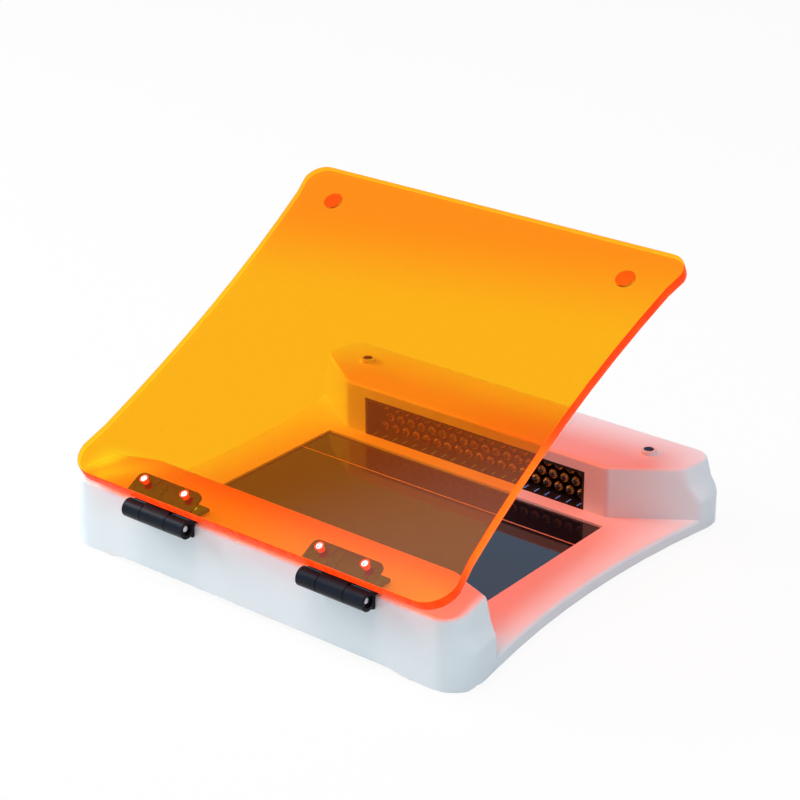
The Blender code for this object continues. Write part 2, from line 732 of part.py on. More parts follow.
def shell_holes():
    """Everything that is cut through the shell."""
    half_glass = GLASS_WIDTH / 2 + GLASS_GAP
    half_window = WINDOW_WIDTH / 2
    holes = [
        box_mesh(
            "glass_recess",
            (-half_glass, GLASS_FRONT_Y - GLASS_GAP, STAGE_TOP),
            (half_glass, GLASS_REAR_Y + GLASS_GAP, BAR_HEIGHT),
        ),
        box_mesh(
            "light_window",
            (-half_window, LED_FACE_Y - FACE_SKIM, DECK_HEIGHT - TRAY_WALL - GAP),
            (half_window, LED_FACE_Y + 2 * WALL, DECK_HEIGHT + WINDOW_HEIGHT),
        ),
    ]
    hole = SCREW_RADIUS + SCREW_PLAY
    for x, y in plate_screw_places():
        end = (x, y, SKIRT_HEIGHT + PLATE_SCREW_LENGTH + 2 * GAP)
        holes.append(rod_mesh("plate_screw_hole", (x, y, 0), end, hole, segments=12))
    for x in hinge_screw_places():
        start = (x, HINGE_SCREW_Y, BASE_LEAF_TOP - LEAF_SCREW_LENGTH - 2 * GAP)
        end = (x, HINGE_SCREW_Y, COVER_UNDERSIDE)
        holes.append(rod_mesh("hinge_screw_hole", start, end, hole, segments=12))
    for x in (-LATCH_HALF_SPACING, LATCH_HALF_SPACING):
        start = (x, LATCH_Y, LATCH_TOP - MAGNET_LENGTH)
        end = (x, LATCH_Y, COVER_UNDERSIDE)
        holes.append(rod_mesh("magnet_hole", start, end, MAGNET_RADIUS + GLASS_GAP))
    for x in (-DRIVER_BOSS_X, DRIVER_BOSS_X):
        start = (x, DRIVER_Y, INLET_HEIGHT)
        end = (x, HALF_DEPTH - WALL, INLET_HEIGHT)
        holes.append(rod_mesh("driver_screw_hole", start, end, hole, segments=12))
    start = (INLET_X, HALF_DEPTH - 2 * WALL, INLET_HEIGHT)
    end = (INLET_X, HALF_DEPTH + WALL, INLET_HEIGHT)
    holes.append(rod_mesh("inlet_hole", start, end, INLET_RADIUS + GAP))
    half_width = SWITCH_BODY_WIDTH / 2 + GAP
    half_height = SWITCH_BODY_HEIGHT / 2 + GAP
    holes.append(
        box_mesh(
            "switch_hole",
            (SWITCH_X - half_width, HALF_DEPTH - 2 * WALL, SWITCH_HEIGHT - half_height),
            (SWITCH_X + half_width, HALF_DEPTH + WALL, SWITCH_HEIGHT + half_height),
        )
    )
    return holes


def make_bottom_plate(carrier, surface):
    """The sheet that closes the housing from below, with its holes and the vents under the LED bar."""
    outline = inset_outline(base_outline(), WALL + GAP)
    mesh = plate_mesh("bottom_plate", outline, SKIRT_HEIGHT, PLATE_THICKNESS)
    plate = add_object("bottom_plate", mesh, carrier, surface)
    cuts = []
    low, high = SKIRT_HEIGHT - PLATE_THICKNESS, PLATE_TOP + PLATE_THICKNESS
    hole = SCREW_RADIUS + SCREW_PLAY
    for x, y in plate_screw_places():
        cuts.append(rod_mesh("plate_hole", (x, y, low), (x, y, high), hole, segments=12))
        face = (x, y, SKIRT_HEIGHT)
        cuts.append(sink_mesh("plate_sink", face, DOWN, PLATE_SCREW_HEAD_RADIUS, PLATE_SCREW_HEAD_HEIGHT))
    stem_hole = FOOT_STEM_RADIUS + SCREW_PLAY
    for x, y in foot_places():
        cuts.append(rod_mesh("foot_hole", (x, y, low), (x, y, high), stem_hole, segments=16))
    for k in range(VENT_COUNT):
        x = (k - (VENT_COUNT - 1) / 2) * VENT_PITCH
        y = SINK_Y + SINK_BASE
        corner = (x - VENT_WIDTH / 2, y, low)
        cuts.append(box_mesh("vent", corner, (x + VENT_WIDTH / 2, y + VENT_LENGTH, high)))
    join_with(plate, "DIFFERENCE", cuts, carrier)
    return plate


def make_feet(carrier, surface):
    """Four rubber feet, each with a stem through the bottom plate."""
    shoulder = SKIRT_HEIGHT - GAP
    tip = PLATE_TOP + FOOT_STEM_REACH
    profile = [
        (0, tip),
        (FOOT_STEM_RADIUS, tip),
        (FOOT_STEM_RADIUS, shoulder),
        (FOOT_RADIUS, shoulder),
        (FOOT_RADIUS, FOOT_EDGE),
        (FOOT_RADIUS - FOOT_EDGE, 0),
        (0, 0),
    ]
    for number, (x, y) in enumerate(foot_places(), 1):
        turned_object(f"foot_{number}", profile, 16, carrier, surface, (x, y, 0))


def screw_profile(head_radius, head_height, length):
    """A countersunk screw on its tip: its head's top is at height 0 and has a shallow round recess."""
    floor, mouth = [head_radius * share for share in SCREW_RECESS_SHARES]
    return [
        (0, -SCREW_RECESS_DEPTH),
        (floor, -SCREW_RECESS_DEPTH),
        (mouth, 0),
        (head_radius, 0),
        (head_radius, -SCREW_HEAD_EDGE),
        (SCREW_RADIUS, -head_height),
        (SCREW_RADIUS, -length),
        (0, -length),
    ]


def make_plate_screws(carrier, surface):
    """The screws that hold the bottom plate, heads down."""
    profile = screw_profile(PLATE_SCREW_HEAD_RADIUS, PLATE_SCREW_HEAD_HEIGHT, PLATE_SCREW_LENGTH)
    for number, (x, y) in enumerate(plate_screw_places(), 1):
        place = (x, y, SKIRT_HEIGHT)
        turned_object(f"plate_screw_{number}", profile, 12, carrier, surface, place, (math.pi, 0, 0))


def make_glass(carrier, glass, rib):
    """The viewing plate, the thin divider and the narrow rear strip, side by side in the recess."""
    half = GLASS_WIDTH / 2
    divider_y = GLASS_REAR_Y - REAR_STRIP_LENGTH
    low = GLASS_TOP - GLASS_THICKNESS
    pieces = {
        "viewing_glass": (GLASS_FRONT_Y, divider_y - DIVIDER_WIDTH / 2 - GLASS_GAP, glass),
        "glass_divider": (divider_y - DIVIDER_WIDTH / 2, divider_y + DIVIDER_WIDTH / 2, rib),
        "rear_glass_strip": (divider_y + DIVIDER_WIDTH / 2 + GLASS_GAP, GLASS_REAR_Y, glass),
    }
    for name, (front, rear, surface) in pieces.items():
        add_object(name, box_mesh(name, (-half, front, low), (half, rear, GLASS_TOP)), carrier, surface)


def make_led_tray(carrier, surface):
    """The black tray behind the window: a tunnel with a flange inside the wall and ribs on its floor."""
    half = WINDOW_WIDTH / 2 - GAP
    low = DECK_HEIGHT - TRAY_WALL
    high = DECK_HEIGHT + WINDOW_HEIGHT - GAP
    tray = add_object(
        "led_tray",
        box_mesh("led_tray", (-half, TRAY_FRONT_Y, low), (half, TRAY_REAR_Y, high)),
        carrier,
        surface,
    )
    flange_y = LED_FACE_Y + WALL + GAP
    flange = box_mesh(
        "tray_flange",
        (-half - TRAY_FLANGE, flange_y, low - TRAY_FLANGE / 2),
        (half + TRAY_FLANGE, flange_y + TRAY_WALL, high + TRAY_FLANGE / 2),
    )
    join_with(tray, "UNION", [flange], carrier)
    tunnel = box_mesh(
        "tray_tunnel",
        (-half + TRAY_WALL, TRAY_FRONT_Y - WALL, DECK_HEIGHT),
        (half - TRAY_WALL, TRAY_REAR_Y + WALL, high - TRAY_WALL),
    )
    join_with(tray, "DIFFERENCE", [tunnel], carrier)
    count = int((WINDOW_WIDTH - 2 * TRAY_WALL) / TRAY_RIB_PITCH)
    ribs = []
    for k in range(count):
        x = (k - (count - 1) / 2) * TRAY_RIB_PITCH
        start = TRAY_FRONT_Y + TRAY_WALL / 2
        near = (x - TRAY_RIB_WIDTH / 2, start, DECK_HEIGHT - TRAY_WALL / 2)
        far = (x + TRAY_RIB_WIDTH / 2, start + TRAY_RIB_LENGTH, DECK_HEIGHT + TRAY_RIB_HEIGHT)
        ribs.append(box_mesh("tray_rib", near, far))
    join_with(tray, "UNION", ribs, carrier)
    return tray


def lamp_places():
    """The centres of the LEDs on their board, as (x, z), in staggered rows."""
    low = DECK_HEIGHT + LAMP_FLOOR_CLEARANCE + LAMP_DIAMETER / 2
    half = WINDOW_WIDTH / 2 - GAP - TRAY_WALL - LAMP_DIAMETER / 2
    places = []
    for row in range(LAMP_ROWS):
        count = int(2 * half / LAMP_PITCH) + 1 - row % 2
        for k in range(count):
            places.append(((k - (count - 1) / 2) * LAMP_PITCH, low + row * LAMP_ROW_PITCH))
    return places


def lamp_mesh(x, z):
    """One LED: a round shaft with a domed lens that looks towards the glass."""
    radius = LAMP_DIAMETER / 2
    shaft = LED_BOARD_Y - LAMP_SHAFT
    outline = (
        (LED_BOARD_Y + GAP, radius),
        (shaft, radius),
        (shaft - LAMP_DOME_DEPTH, LAMP_TIP_RADIUS),
    )
    rings = []
    for y, reach in outline:
        ring = []
        for k in range(LAMP_SIDES):
            turn = 2 * math.pi * k / LAMP_SIDES
            ring.append(Vector((x + reach * math.cos(turn), y, z + reach * math.sin(turn))))
        rings.append(ring)
    return loft_mesh("lamp", rings)


def make_led_board(carrier, surface):
    """The LED board with its lamps soldered on."""
    half = WINDOW_WIDTH / 2 + BOARD_MARGIN
    low = DECK_HEIGHT - BOARD_MARGIN
    high = DECK_HEIGHT + WINDOW_HEIGHT + BOARD_MARGIN
    board = add_object(
        "led_board",
        box_mesh("led_board", (-half, LED_BOARD_Y, low), (half, LED_BOARD_Y + BOARD_THICKNESS, high)),
        carrier,
        surface,
    )
    join_with(board, "UNION", [lamp_mesh(x, z) for x, z in lamp_places()], carrier)
    return board


def make_heat_sink(carrier, surface):
    """The extruded aluminium heat sink: a plate with upright fins."""
    half = WINDOW_WIDTH / 2
    pitch = (2 * half - SINK_FIN_THICKNESS) / (SINK_FIN_COUNT - 1)
    root = SINK_Y + SINK_BASE
    outline = [Vector((-half, SINK_Y)), Vector((half, SINK_Y))]
    for k in reversed(range(SINK_FIN_COUNT)):
        x = -half + k * pitch
        outline.append(Vector((x + SINK_FIN_THICKNESS, root)))
        outline.append(Vector((x + SINK_FIN_THICKNESS, root + SINK_FIN_REACH)))
        outline.append(Vector((x, root + SINK_FIN_REACH)))
        outline.append(Vector((x, root)))
    outline = [point for i, point in enumerate(outline) if (point - outline[i - 1]).length > MERGE_DISTANCE]
    low = DECK_HEIGHT - BOARD_MARGIN
    mesh = plate_mesh("heat_sink", outline, low, WINDOW_HEIGHT + 2 * BOARD_MARGIN)
    return add_object("heat_sink", mesh, carrier, surface)


def make_driver_board(carrier, surface):
    """The driver board on its two bosses, with the tall components that such a board has."""
    half = DRIVER_BOSS_X + DRIVER_BOARD_END
    low = INLET_HEIGHT - DRIVER_HEIGHT / 2 + DRIVER_RAISE
    high = low + DRIVER_HEIGHT
    front, rear = DRIVER_Y, DRIVER_Y + BOARD_THICKNESS
    mesh = box_mesh("driver_board", (-half, front, low), (half, rear, high))
    board = add_object("driver_board", mesh, carrier, surface)
    middle = (low + high) / 2
    start, end = rear - GAP, rear + TALL_PART_REACH
    choke_x = CHOKE_TO_BOSS - DRIVER_BOSS_X
    parts = [rod_mesh("choke", (choke_x, start, middle), (choke_x, end, middle), CHOKE_RADIUS, segments=16)]
    for to_boss in CAPACITORS_TO_BOSS:
        x = DRIVER_BOSS_X - to_boss
        foot, tip = (x, start, middle), (x, end, middle)
        parts.append(rod_mesh("capacitor", foot, tip, CAPACITOR_RADIUS, segments=14))
    x = DRIVER_BOSS_X - CONTROLLER_TO_BOSS
    near = (x - CONTROLLER_WIDTH / 2, start, middle - CONTROLLER_HEIGHT / 2)
    far = (x + CONTROLLER_WIDTH / 2, rear + CONTROLLER_REACH, middle + CONTROLLER_HEIGHT / 2)
    parts.append(box_mesh("controller", near, far))
    join_with(board, "UNION", parts, carrier)
    holes = []
    for x in (-DRIVER_BOSS_X, DRIVER_BOSS_X):
        start = (x, front - WALL, INLET_HEIGHT)
        end = (x, rear + WALL, INLET_HEIGHT)
        holes.append(rod_mesh("driver_hole", start, end, SCREW_RADIUS + SCREW_PLAY, segments=12))
    join_with(board, "DIFFERENCE", holes, carrier)
    return board


def make_driver_screws(carrier, surface):
    """Two cheese-head screws through the driver board into its bosses."""
    profile = [
        (0, DRIVER_SCREW_HEAD_HEIGHT),
        (DRIVER_SCREW_HEAD_RADIUS, DRIVER_SCREW_HEAD_HEIGHT),
        (DRIVER_SCREW_HEAD_RADIUS, 0),
        (SCREW_RADIUS, 0),
        (SCREW_RADIUS, -DRIVER_SCREW_LENGTH),
        (0, -DRIVER_SCREW_LENGTH),
    ]
    for name, x in (("left", -DRIVER_BOSS_X), ("right", DRIVER_BOSS_X)):
        place = (x, DRIVER_Y - GAP, INLET_HEIGHT)
        turned_object(f"driver_screw_{name}", profile, 12, carrier, surface, place, (math.pi / 2, 0, 0))


def make_inlet(carrier, surface, metal):
    """The round power inlet in the rear wall, with its centre pin, and the nut behind the wall."""
    out = GAP + INLET_FLANGE
    profile = [
        (0, out - INLET_PIN_DROP),
        (INLET_PIN_RADIUS, out - INLET_PIN_DROP),
        (INLET_PIN_RADIUS, out - INLET_BORE_DEPTH),
        (INLET_BORE_RADIUS, out - INLET_BORE_DEPTH),
        (INLET_BORE_RADIUS, out),
        (INLET_FLANGE_RADIUS, out),
        (INLET_FLANGE_RADIUS, GAP),
        (INLET_RADIUS, GAP),
        (INLET_RADIUS, out - INLET_DEPTH),
        (0, out - INLET_DEPTH),
    ]
    place = (INLET_X, HALF_DEPTH, INLET_HEIGHT)
    turned_object("power_inlet", profile, 20, carrier, surface, place, (-math.pi / 2, 0, 0))
    front = HALF_DEPTH - WALL - GAP - INLET_NUT_THICKNESS
    start = (INLET_X, front, INLET_HEIGHT)
    end = (INLET_X, front + INLET_NUT_THICKNESS, INLET_HEIGHT)
    mesh = rod_mesh("inlet_nut", start, end, INLET_NUT_RADIUS, segments=6)
    nut = add_object("inlet_nut", mesh, carrier, metal)
    bore = rod_mesh(
        "nut_bore",
        (INLET_X, front - WALL, INLET_HEIGHT),
        (INLET_X, front + 2 * WALL, INLET_HEIGHT),
        INLET_RADIUS + SCREW_PLAY,
    )
    join_with(nut, "DIFFERENCE", [bore], carrier)


def make_switch(carrier, frame_surface, rocker_surface):
    """The rocker switch in the rear wall: a frame with a pocket, and a rocker on a short upright pin."""
    face = HALF_DEPTH + GAP + INLET_FLANGE
    pivot_y = face - ROCKER_AXIS_DEPTH
    frame = add_object(
        "switch_frame",
        box_mesh(
            "switch_frame",
            (SWITCH_X - SWITCH_FLANGE_WIDTH / 2, HALF_DEPTH + GAP, SWITCH_HEIGHT - SWITCH_FLANGE_HEIGHT / 2),
            (SWITCH_X + SWITCH_FLANGE_WIDTH / 2, face, SWITCH_HEIGHT + SWITCH_FLANGE_HEIGHT / 2),
        ),
        carrier,
        frame_surface,
    )
    body = box_mesh(
        "switch_body",
        (SWITCH_X - SWITCH_BODY_WIDTH / 2, face - SWITCH_BODY_DEPTH, SWITCH_HEIGHT - SWITCH_BODY_HEIGHT / 2),
        (SWITCH_X + SWITCH_BODY_WIDTH / 2, face - INLET_FLANGE / 2, SWITCH_HEIGHT + SWITCH_BODY_HEIGHT / 2),
    )
    join_with(frame, "UNION", [body], carrier)
    half_width = ROCKER_WIDTH / 2 + ROCKER_PLAY
    half_height = ROCKER_HEIGHT / 2 + GAP
    pocket = box_mesh(
        "rocker_pocket",
        (SWITCH_X - half_width, face - ROCKER_POCKET_DEPTH, SWITCH_HEIGHT - half_height),
        (SWITCH_X + half_width, face + WALL, SWITCH_HEIGHT + half_height),
    )
    reach = ROCKER_HEIGHT / 2 + ROCKER_PIN_REACH + GAP
    pin_hole = rod_mesh(
        "rocker_pin_hole",
        (SWITCH_X, pivot_y, SWITCH_HEIGHT - reach),
        (SWITCH_X, pivot_y, SWITCH_HEIGHT + reach),
        ROCKER_PIN_RADIUS + GAP / 2,
        segments=16,
    )
    join_with(frame, "DIFFERENCE", [pocket], carrier)
    join_with(frame, "DIFFERENCE", [pin_hole], carrier)

    pivot = new_empty("rocker_axis", carrier, (SWITCH_X, pivot_y, SWITCH_HEIGHT), (0, 0, ROCKER_TILT))
    half = ROCKER_WIDTH / 2
    outline = [
        Vector((-half, 0)),
        Vector((-half / 2, -ROCKER_RISE)),
        Vector((half / 2, -ROCKER_RISE)),
        Vector((half, 0)),
        Vector((half, ROCKER_RISE)),
        Vector((0, ROCKER_RISE * 2 / 3)),
        Vector((-half, ROCKER_RISE)),
    ]
    mesh = plate_mesh("power_rocker", outline, -ROCKER_HEIGHT / 2, ROCKER_HEIGHT)
    rocker = add_object("power_rocker", mesh, pivot, rocker_surface)
    reach -= GAP
    pin = rod_mesh("rocker_pin", (0, 0, -reach), (0, 0, reach), ROCKER_PIN_RADIUS, segments=12)
    join_with(rocker, "UNION", [pin], pivot)


def disc_profile(radius, top, low):
    """A round disc between two heights, with a small chamfer round its top."""
    return [(0, top), (radius - DISC_EDGE, top), (radius, top - DISC_EDGE), (radius, low), (0, low)]


def make_magnets(carrier, surface):
    """The two latch magnets in the bosses of the LED bar."""
    profile = disc_profile(MAGNET_RADIUS, LATCH_TOP + MAGNET_PROUD, LATCH_TOP - MAGNET_LENGTH + GAP)
    for name, x in (("left", -LATCH_HALF_SPACING), ("right", LATCH_HALF_SPACING)):
        turned_object(f"latch_magnet_{name}", profile, 20, carrier, surface, (x, LATCH_Y, 0))


def make_base_leaf(name, x, carrier, surface):
    """The hinge leaf on the hinge bar: a flange on top, and two outer knuckles with a wall pad at each."""
    half = HINGE_LENGTH / 2
    half_middle = HINGE_MIDDLE_KNUCKLE / 2 + HINGE_KNUCKLE_GAP
    low = BAR_HEIGHT + GAP
    flange_front = HINGE_AXIS_Y + HINGE_BARREL_RADIUS + 2 * GAP
    near = (x - half, flange_front, low)
    far = (x + half, LEAF_FAR_Y, BASE_LEAF_TOP)
    leaf = add_object(name, box_mesh(name, near, far), carrier, surface)
    joined = []
    cuts = []
    for side in (-1, 1):
        inner = x + side * half_middle
        outer = x + side * half
        start, end = (inner, HINGE_AXIS_Y, HINGE_AXIS_Z), (outer, HINGE_AXIS_Y, HINGE_AXIS_Z)
        joined.append(rod_mesh("knuckle", start, end, HINGE_BARREL_RADIUS, segments=24))
        left, right = min(inner, outer), max(inner, outer)
        arm_end = (right, flange_front + HINGE_LEAF_THICKNESS, BASE_LEAF_TOP)
        joined.append(box_mesh("knuckle_arm", (left, HINGE_AXIS_Y, low), arm_end))
        pad_rear = -HALF_DEPTH + GAP / 2
        pad_start = (left, pad_rear - HINGE_PAD_THICKNESS, HINGE_AXIS_Z - HINGE_PAD_DROP)
        joined.append(box_mesh("wall_pad", pad_start, (right, pad_rear, HINGE_AXIS_Z)))
        start = (outer - side * HINGE_PIN_RECESS, HINGE_AXIS_Y, HINGE_AXIS_Z)
        end = (outer + side * WALL, HINGE_AXIS_Y, HINGE_AXIS_Z)
        cuts.append(rod_mesh("pin_socket", start, end, HINGE_SOCKET_RADIUS))
    join_with(leaf, "UNION", joined, carrier)
    reach = half + WALL
    start, end = (x - reach, HINGE_AXIS_Y, HINGE_AXIS_Z), (x + reach, HINGE_AXIS_Y, HINGE_AXIS_Z)
    cuts.append(rod_mesh("pin_bore", start, end, HINGE_PIN_RADIUS + GAP, segments=16))
    for side in (-1, 1):
        screw_x = x + side * HINGE_SCREW_SPACING / 2
        low_end = (screw_x, HINGE_SCREW_Y, low - WALL)
        high_end = (screw_x, HINGE_SCREW_Y, BASE_LEAF_TOP + GAP)
        cuts.append(rod_mesh("leaf_hole", low_end, high_end, SCREW_RADIUS + SCREW_PLAY, segments=12))
        face = (screw_x, HINGE_SCREW_Y, BASE_LEAF_TOP)
        cuts.append(sink_mesh("leaf_sink", face, UP, LEAF_SCREW_HEAD_RADIUS, LEAF_SCREW_HEAD_HEIGHT))
    join_with(leaf, "DIFFERENCE", cuts, carrier)
    return leaf


def make_hinge_pins(carrier, surface):
    """The pins that run through the three knuckles of each hinge."""
    reach = HINGE_LENGTH / 2 - HINGE_PIN_RECESS
    tip = HINGE_PIN_RADIUS - HINGE_PIN_CHAMFER
    profile = [
        (0, reach),
        (tip, reach),
        (HINGE_PIN_RADIUS, reach - HINGE_PIN_CHAMFER),
        (HINGE_PIN_RADIUS, -reach + HINGE_PIN_CHAMFER),
        (tip, -reach),
        (0, -reach),
    ]
    for name, x in hinge_places().items():
        place = (x, HINGE_AXIS_Y, HINGE_AXIS_Z)
        turned_object(f"hinge_pin_{name}", profile, 16, carrier, surface, place, (0, math.pi / 2, 0))


def make_leaf_screws(carrier, surface):
    """The screws that hold the base leaves to the hinge bar."""
    profile = screw_profile(LEAF_SCREW_HEAD_RADIUS, LEAF_SCREW_HEAD_HEIGHT, LEAF_SCREW_LENGTH)
    for number, x in enumerate(hinge_screw_places(), 1):
        place = (x, HINGE_SCREW_Y, BASE_LEAF_TOP)
        turned_object(f"leaf_screw_{number}", profile, 12, carrier, surface, place)


def cover_outline():
    """The waisted outline of the cover, anticlockwise, seen from the hinge axis."""
    middle = (COVER_NEAR_Y + COVER_FAR_Y) / 2
    half = (COVER_FAR_Y - COVER_NEAR_Y) / 2
    near_rate = COVER_NEAR_FLARE / half**2
    far_rate = COVER_FAR_FLARE / half**2
    near_start = half - 2 * COVER_NEAR_CORNER
    far_start = half - 2 * COVER_FAR_CORNER
    near_x = COVER_WAIST_HALF_WIDTH + near_rate * near_start * (2 * half - near_start)
    far_x = COVER_WAIST_HALF_WIDTH + far_rate * far_start * (2 * half - far_start)
    side = []
    for k in range(WAIST_STEPS + 1):
        y = -near_start + (near_start + far_start) * k / WAIST_STEPS
        rate = near_rate if y < 0 else far_rate
        side.append(Vector((COVER_WAIST_HALF_WIDTH + rate * y * y, middle + y)))
    corners = [
        Vector((near_x, COVER_NEAR_Y)),
        Vector((far_x, COVER_FAR_Y)),
        Vector((-far_x, COVER_FAR_Y)),
        Vector((-near_x, COVER_NEAR_Y)),
    ]
    radii = [COVER_NEAR_CORNER, COVER_FAR_CORNER, COVER_FAR_CORNER, COVER_NEAR_CORNER]
    arcs = rounded_outline(corners, radii, [CORNER_STEPS] * len(corners))
    size = CORNER_STEPS + 1
    other_side = [Vector((-point.x, point.y)) for point in reversed(side)]
    outline = arcs[:size] + side + arcs[size : 3 * size] + other_side + arcs[3 * size :]
    return [Vector((point.x + COVER_SIDE_SHIFT, point.y - HINGE_AXIS_Y)) for point in outline]


def from_axis(x, y, z):
    """A point of the closed cover, seen from the hinge axis."""
    return Vector((x, y - HINGE_AXIS_Y, z - HINGE_AXIS_Z))


def make_cover(carrier, surface):
    """The amber acrylic cover with its rounded edges and four countersunk holes."""
    low = COVER_UNDERSIDE - HINGE_AXIS_Z
    mesh = plate_mesh("amber_cover", cover_outline(), low, COVER_THICKNESS)
    cover = add_object("amber_cover", mesh, carrier, surface)
    bevel_edges(cover, COVER_EDGE_ROUNDING, segments=2)
    top = COVER_UNDERSIDE + COVER_THICKNESS
    cuts = []
    for x in hinge_screw_places():
        start = from_axis(x, HINGE_SCREW_Y, COVER_UNDERSIDE - WALL)
        end = from_axis(x, HINGE_SCREW_Y, top + WALL)
        cuts.append(rod_mesh("cover_hole", start, end, SCREW_RADIUS + SCREW_PLAY, segments=16))
        face = from_axis(x, HINGE_SCREW_Y, top)
        cuts.append(sink_mesh("cover_sink", face, UP, COVER_SCREW_HEAD_RADIUS, COVER_SCREW_HEAD_HEIGHT, 16))
    join_with(cover, "DIFFERENCE", cuts, carrier)
    return cover


def leaf_pockets(x, near, far, top):
    """The cutters of the pockets in a cover leaf's top: two in its middle and a small one at each end."""
    floor = top - LEAF_POCKET_DEPTH
    above = top + WALL
    rim = LEAF_POCKET_RIM
    spans = [
        (x + start * LEAF_POCKET_HALF_WIDTH, x + end * LEAF_POCKET_HALF_WIDTH, far - rim)
        for start, end in LEAF_POCKET_RIB
    ]
    for end in (x - COVER_LEAF_LENGTH / 2 + rim, x + COVER_LEAF_LENGTH / 2 - LEAF_END_POCKET * rim):
        spans.append((end, end + (LEAF_END_POCKET - 1) * rim, far - 2 * rim))
    return [
        box_mesh("leaf_pocket", (left, near + rim, floor), (right, rear, above))
        for left, right, rear in spans
    ]


def make_cover_leaf(name, x, carrier, surface):
    """The hinge leaf under the cover: a plate with moulded pockets, and the middle knuckle."""
    half = COVER_LEAF_LENGTH / 2
    near = LEAF_NEAR_Y - HINGE_AXIS_Y
    far = LEAF_FAR_Y - HINGE_AXIS_Y
    places = [(x - half, near), (x + half, near), (x + half, far), (x - half, far)]
    radii = [HINGE_LEAF_NEAR_CORNER, HINGE_LEAF_NEAR_CORNER, HINGE_LEAF_CORNER, HINGE_LEAF_CORNER]
    steps = [NEAR_CORNER_STEPS, NEAR_CORNER_STEPS, END_STEPS, END_STEPS]
    outline = rounded_outline([Vector(place) for place in places], radii, steps)
    top = COVER_LEAF_TOP - HINGE_AXIS_Z
    low = top - HINGE_LEAF_THICKNESS
    leaf = add_object(name, plate_mesh(name, outline, low, HINGE_LEAF_THICKNESS), carrier, surface)
    reach = HINGE_MIDDLE_KNUCKLE / 2
    start, end = (x - reach, 0, 0), (x + reach, 0, 0)
    knuckle = rod_mesh("middle_knuckle", start, end, HINGE_BARREL_RADIUS, segments=24)
    arm_start = (x - reach, 0, low - HINGE_ARM_LAP)
    arm_end = (x + reach, near + GAP, HINGE_BARREL_RADIUS - HINGE_ARM_DROP)
    arm = box_mesh("middle_arm", arm_start, arm_end)
    join_with(leaf, "UNION", [knuckle, arm], carrier)
    bore = rod_mesh("middle_bore", (x - half, 0, 0), (x + half, 0, 0), HINGE_PIN_RADIUS + GAP, segments=16)
    cuts = [bore]
    screw_y = HINGE_SCREW_Y - HINGE_AXIS_Y
    for side in (-1, 1):
        screw_x = x + side * HINGE_SCREW_SPACING / 2
        start, end = (screw_x, screw_y, low - WALL), (screw_x, screw_y, top + WALL)
        cuts.append(rod_mesh("leaf_hole", start, end, SCREW_RADIUS + SCREW_PLAY, segments=12))
    cuts += leaf_pockets(x, near, far, top)
    join_with(leaf, "DIFFERENCE", cuts, carrier)
    return leaf


def make_cover_screws(carrier, surface):
    """The screws from the top of the cover into its hinge leaves."""
    length = COVER_THICKNESS + GAP + HINGE_LEAF_THICKNESS
    profile = screw_profile(COVER_SCREW_HEAD_RADIUS, COVER_SCREW_HEAD_HEIGHT, length)
    top = COVER_UNDERSIDE + COVER_THICKNESS
    for number, x in enumerate(hinge_screw_places(), 1):
        place = from_axis(x, HINGE_SCREW_Y, top)
        turned_object(f"cover_screw_{number}", profile, 12, carrier, surface, place)


def make_strikes(carrier, surface):
    """The round strikes under the cover, which meet the latch magnets when it is shut."""
    low = LATCH_TOP + MAGNET_PROUD + GAP
    profile = disc_profile(STRIKE_RADIUS, COVER_UNDERSIDE - GAP - low, 0)
    for name, x in (("left", -LATCH_HALF_SPACING), ("right", LATCH_HALF_SPACING)):
        turned_object(f"cover_strike_{name}", profile, 24, carrier, surface, from_axis(x, LATCH_Y, low))


def build():
    """Makes every piece and places it."""
    housing = new_empty("housing_frame", None, (0, HOUSING_MIDDLE_Y, 0))
    axis_place = (0, HINGE_AXIS_Y, HINGE_AXIS_Z)
    cover_axis = new_empty("cover_axis", housing, axis_place, (COVER_OPENING, 0, 0))

    white = new_material("white_shell", (0.76, 0.84, 0.90), 0.55)
    amber = new_material("amber_acrylic", (0.98, 0.42, 0.03), 0.08, alpha=0.6)
    glass = new_material("dark_glass", (0.03, 0.04, 0.05), 0.06)
    salmon = new_material("divider_rib", (0.75, 0.36, 0.25), 0.4)
    black = new_material("black_polymer", (0.02, 0.022, 0.028), 0.35)
    tray = new_material("tray_black", (0.01, 0.011, 0.014), 0.45)
    rubber = new_material("foot_rubber", (0.03, 0.03, 0.03), 0.8)
    sheet = new_material("plate_sheet", (0.55, 0.57, 0.6), 0.45, 0.9)
    steel = new_material("screw_steel", (0.7, 0.7, 0.72), 0.3, 1.0)
    magnet = new_material("magnet_black", (0.02, 0.022, 0.028), 0.4)
    lamps = new_material("lamp_board", (0.35, 0.16, 0.05), 0.3)
    sink = new_material("sink_aluminium", (0.75, 0.76, 0.78), 0.4, 1.0)
    board = new_material("driver_green", (0.03, 0.16, 0.07), 0.45)
    strike = new_material("strike_steel", (0.32, 0.30, 0.28), 0.35, 1.0)

    make_shell(housing, white)
    make_bottom_plate(housing, sheet)
    make_feet(housing, rubber)
    make_plate_screws(housing, steel)
    make_glass(housing, glass, salmon)
    make_led_tray(housing, tray)
    make_led_board(housing, lamps)
    make_heat_sink(housing, sink)
    make_driver_board(housing, board)
    make_driver_screws(housing, steel)
    make_inlet(housing, black, steel)
    make_switch(housing, black, black)
    make_magnets(housing, magnet)
    for side, x in hinge_places().items():
        make_base_leaf(f"base_leaf_{side}", x, housing, black)
    make_hinge_pins(housing, steel)
    make_leaf_screws(housing, steel)

    make_cover(cover_axis, amber)
    for side, x in hinge_places().items():
        make_cover_leaf(f"cover_leaf_{side}", x, cover_axis, black)
    make_cover_screws(cover_axis, steel)
    make_strikes(cover_axis, strike)


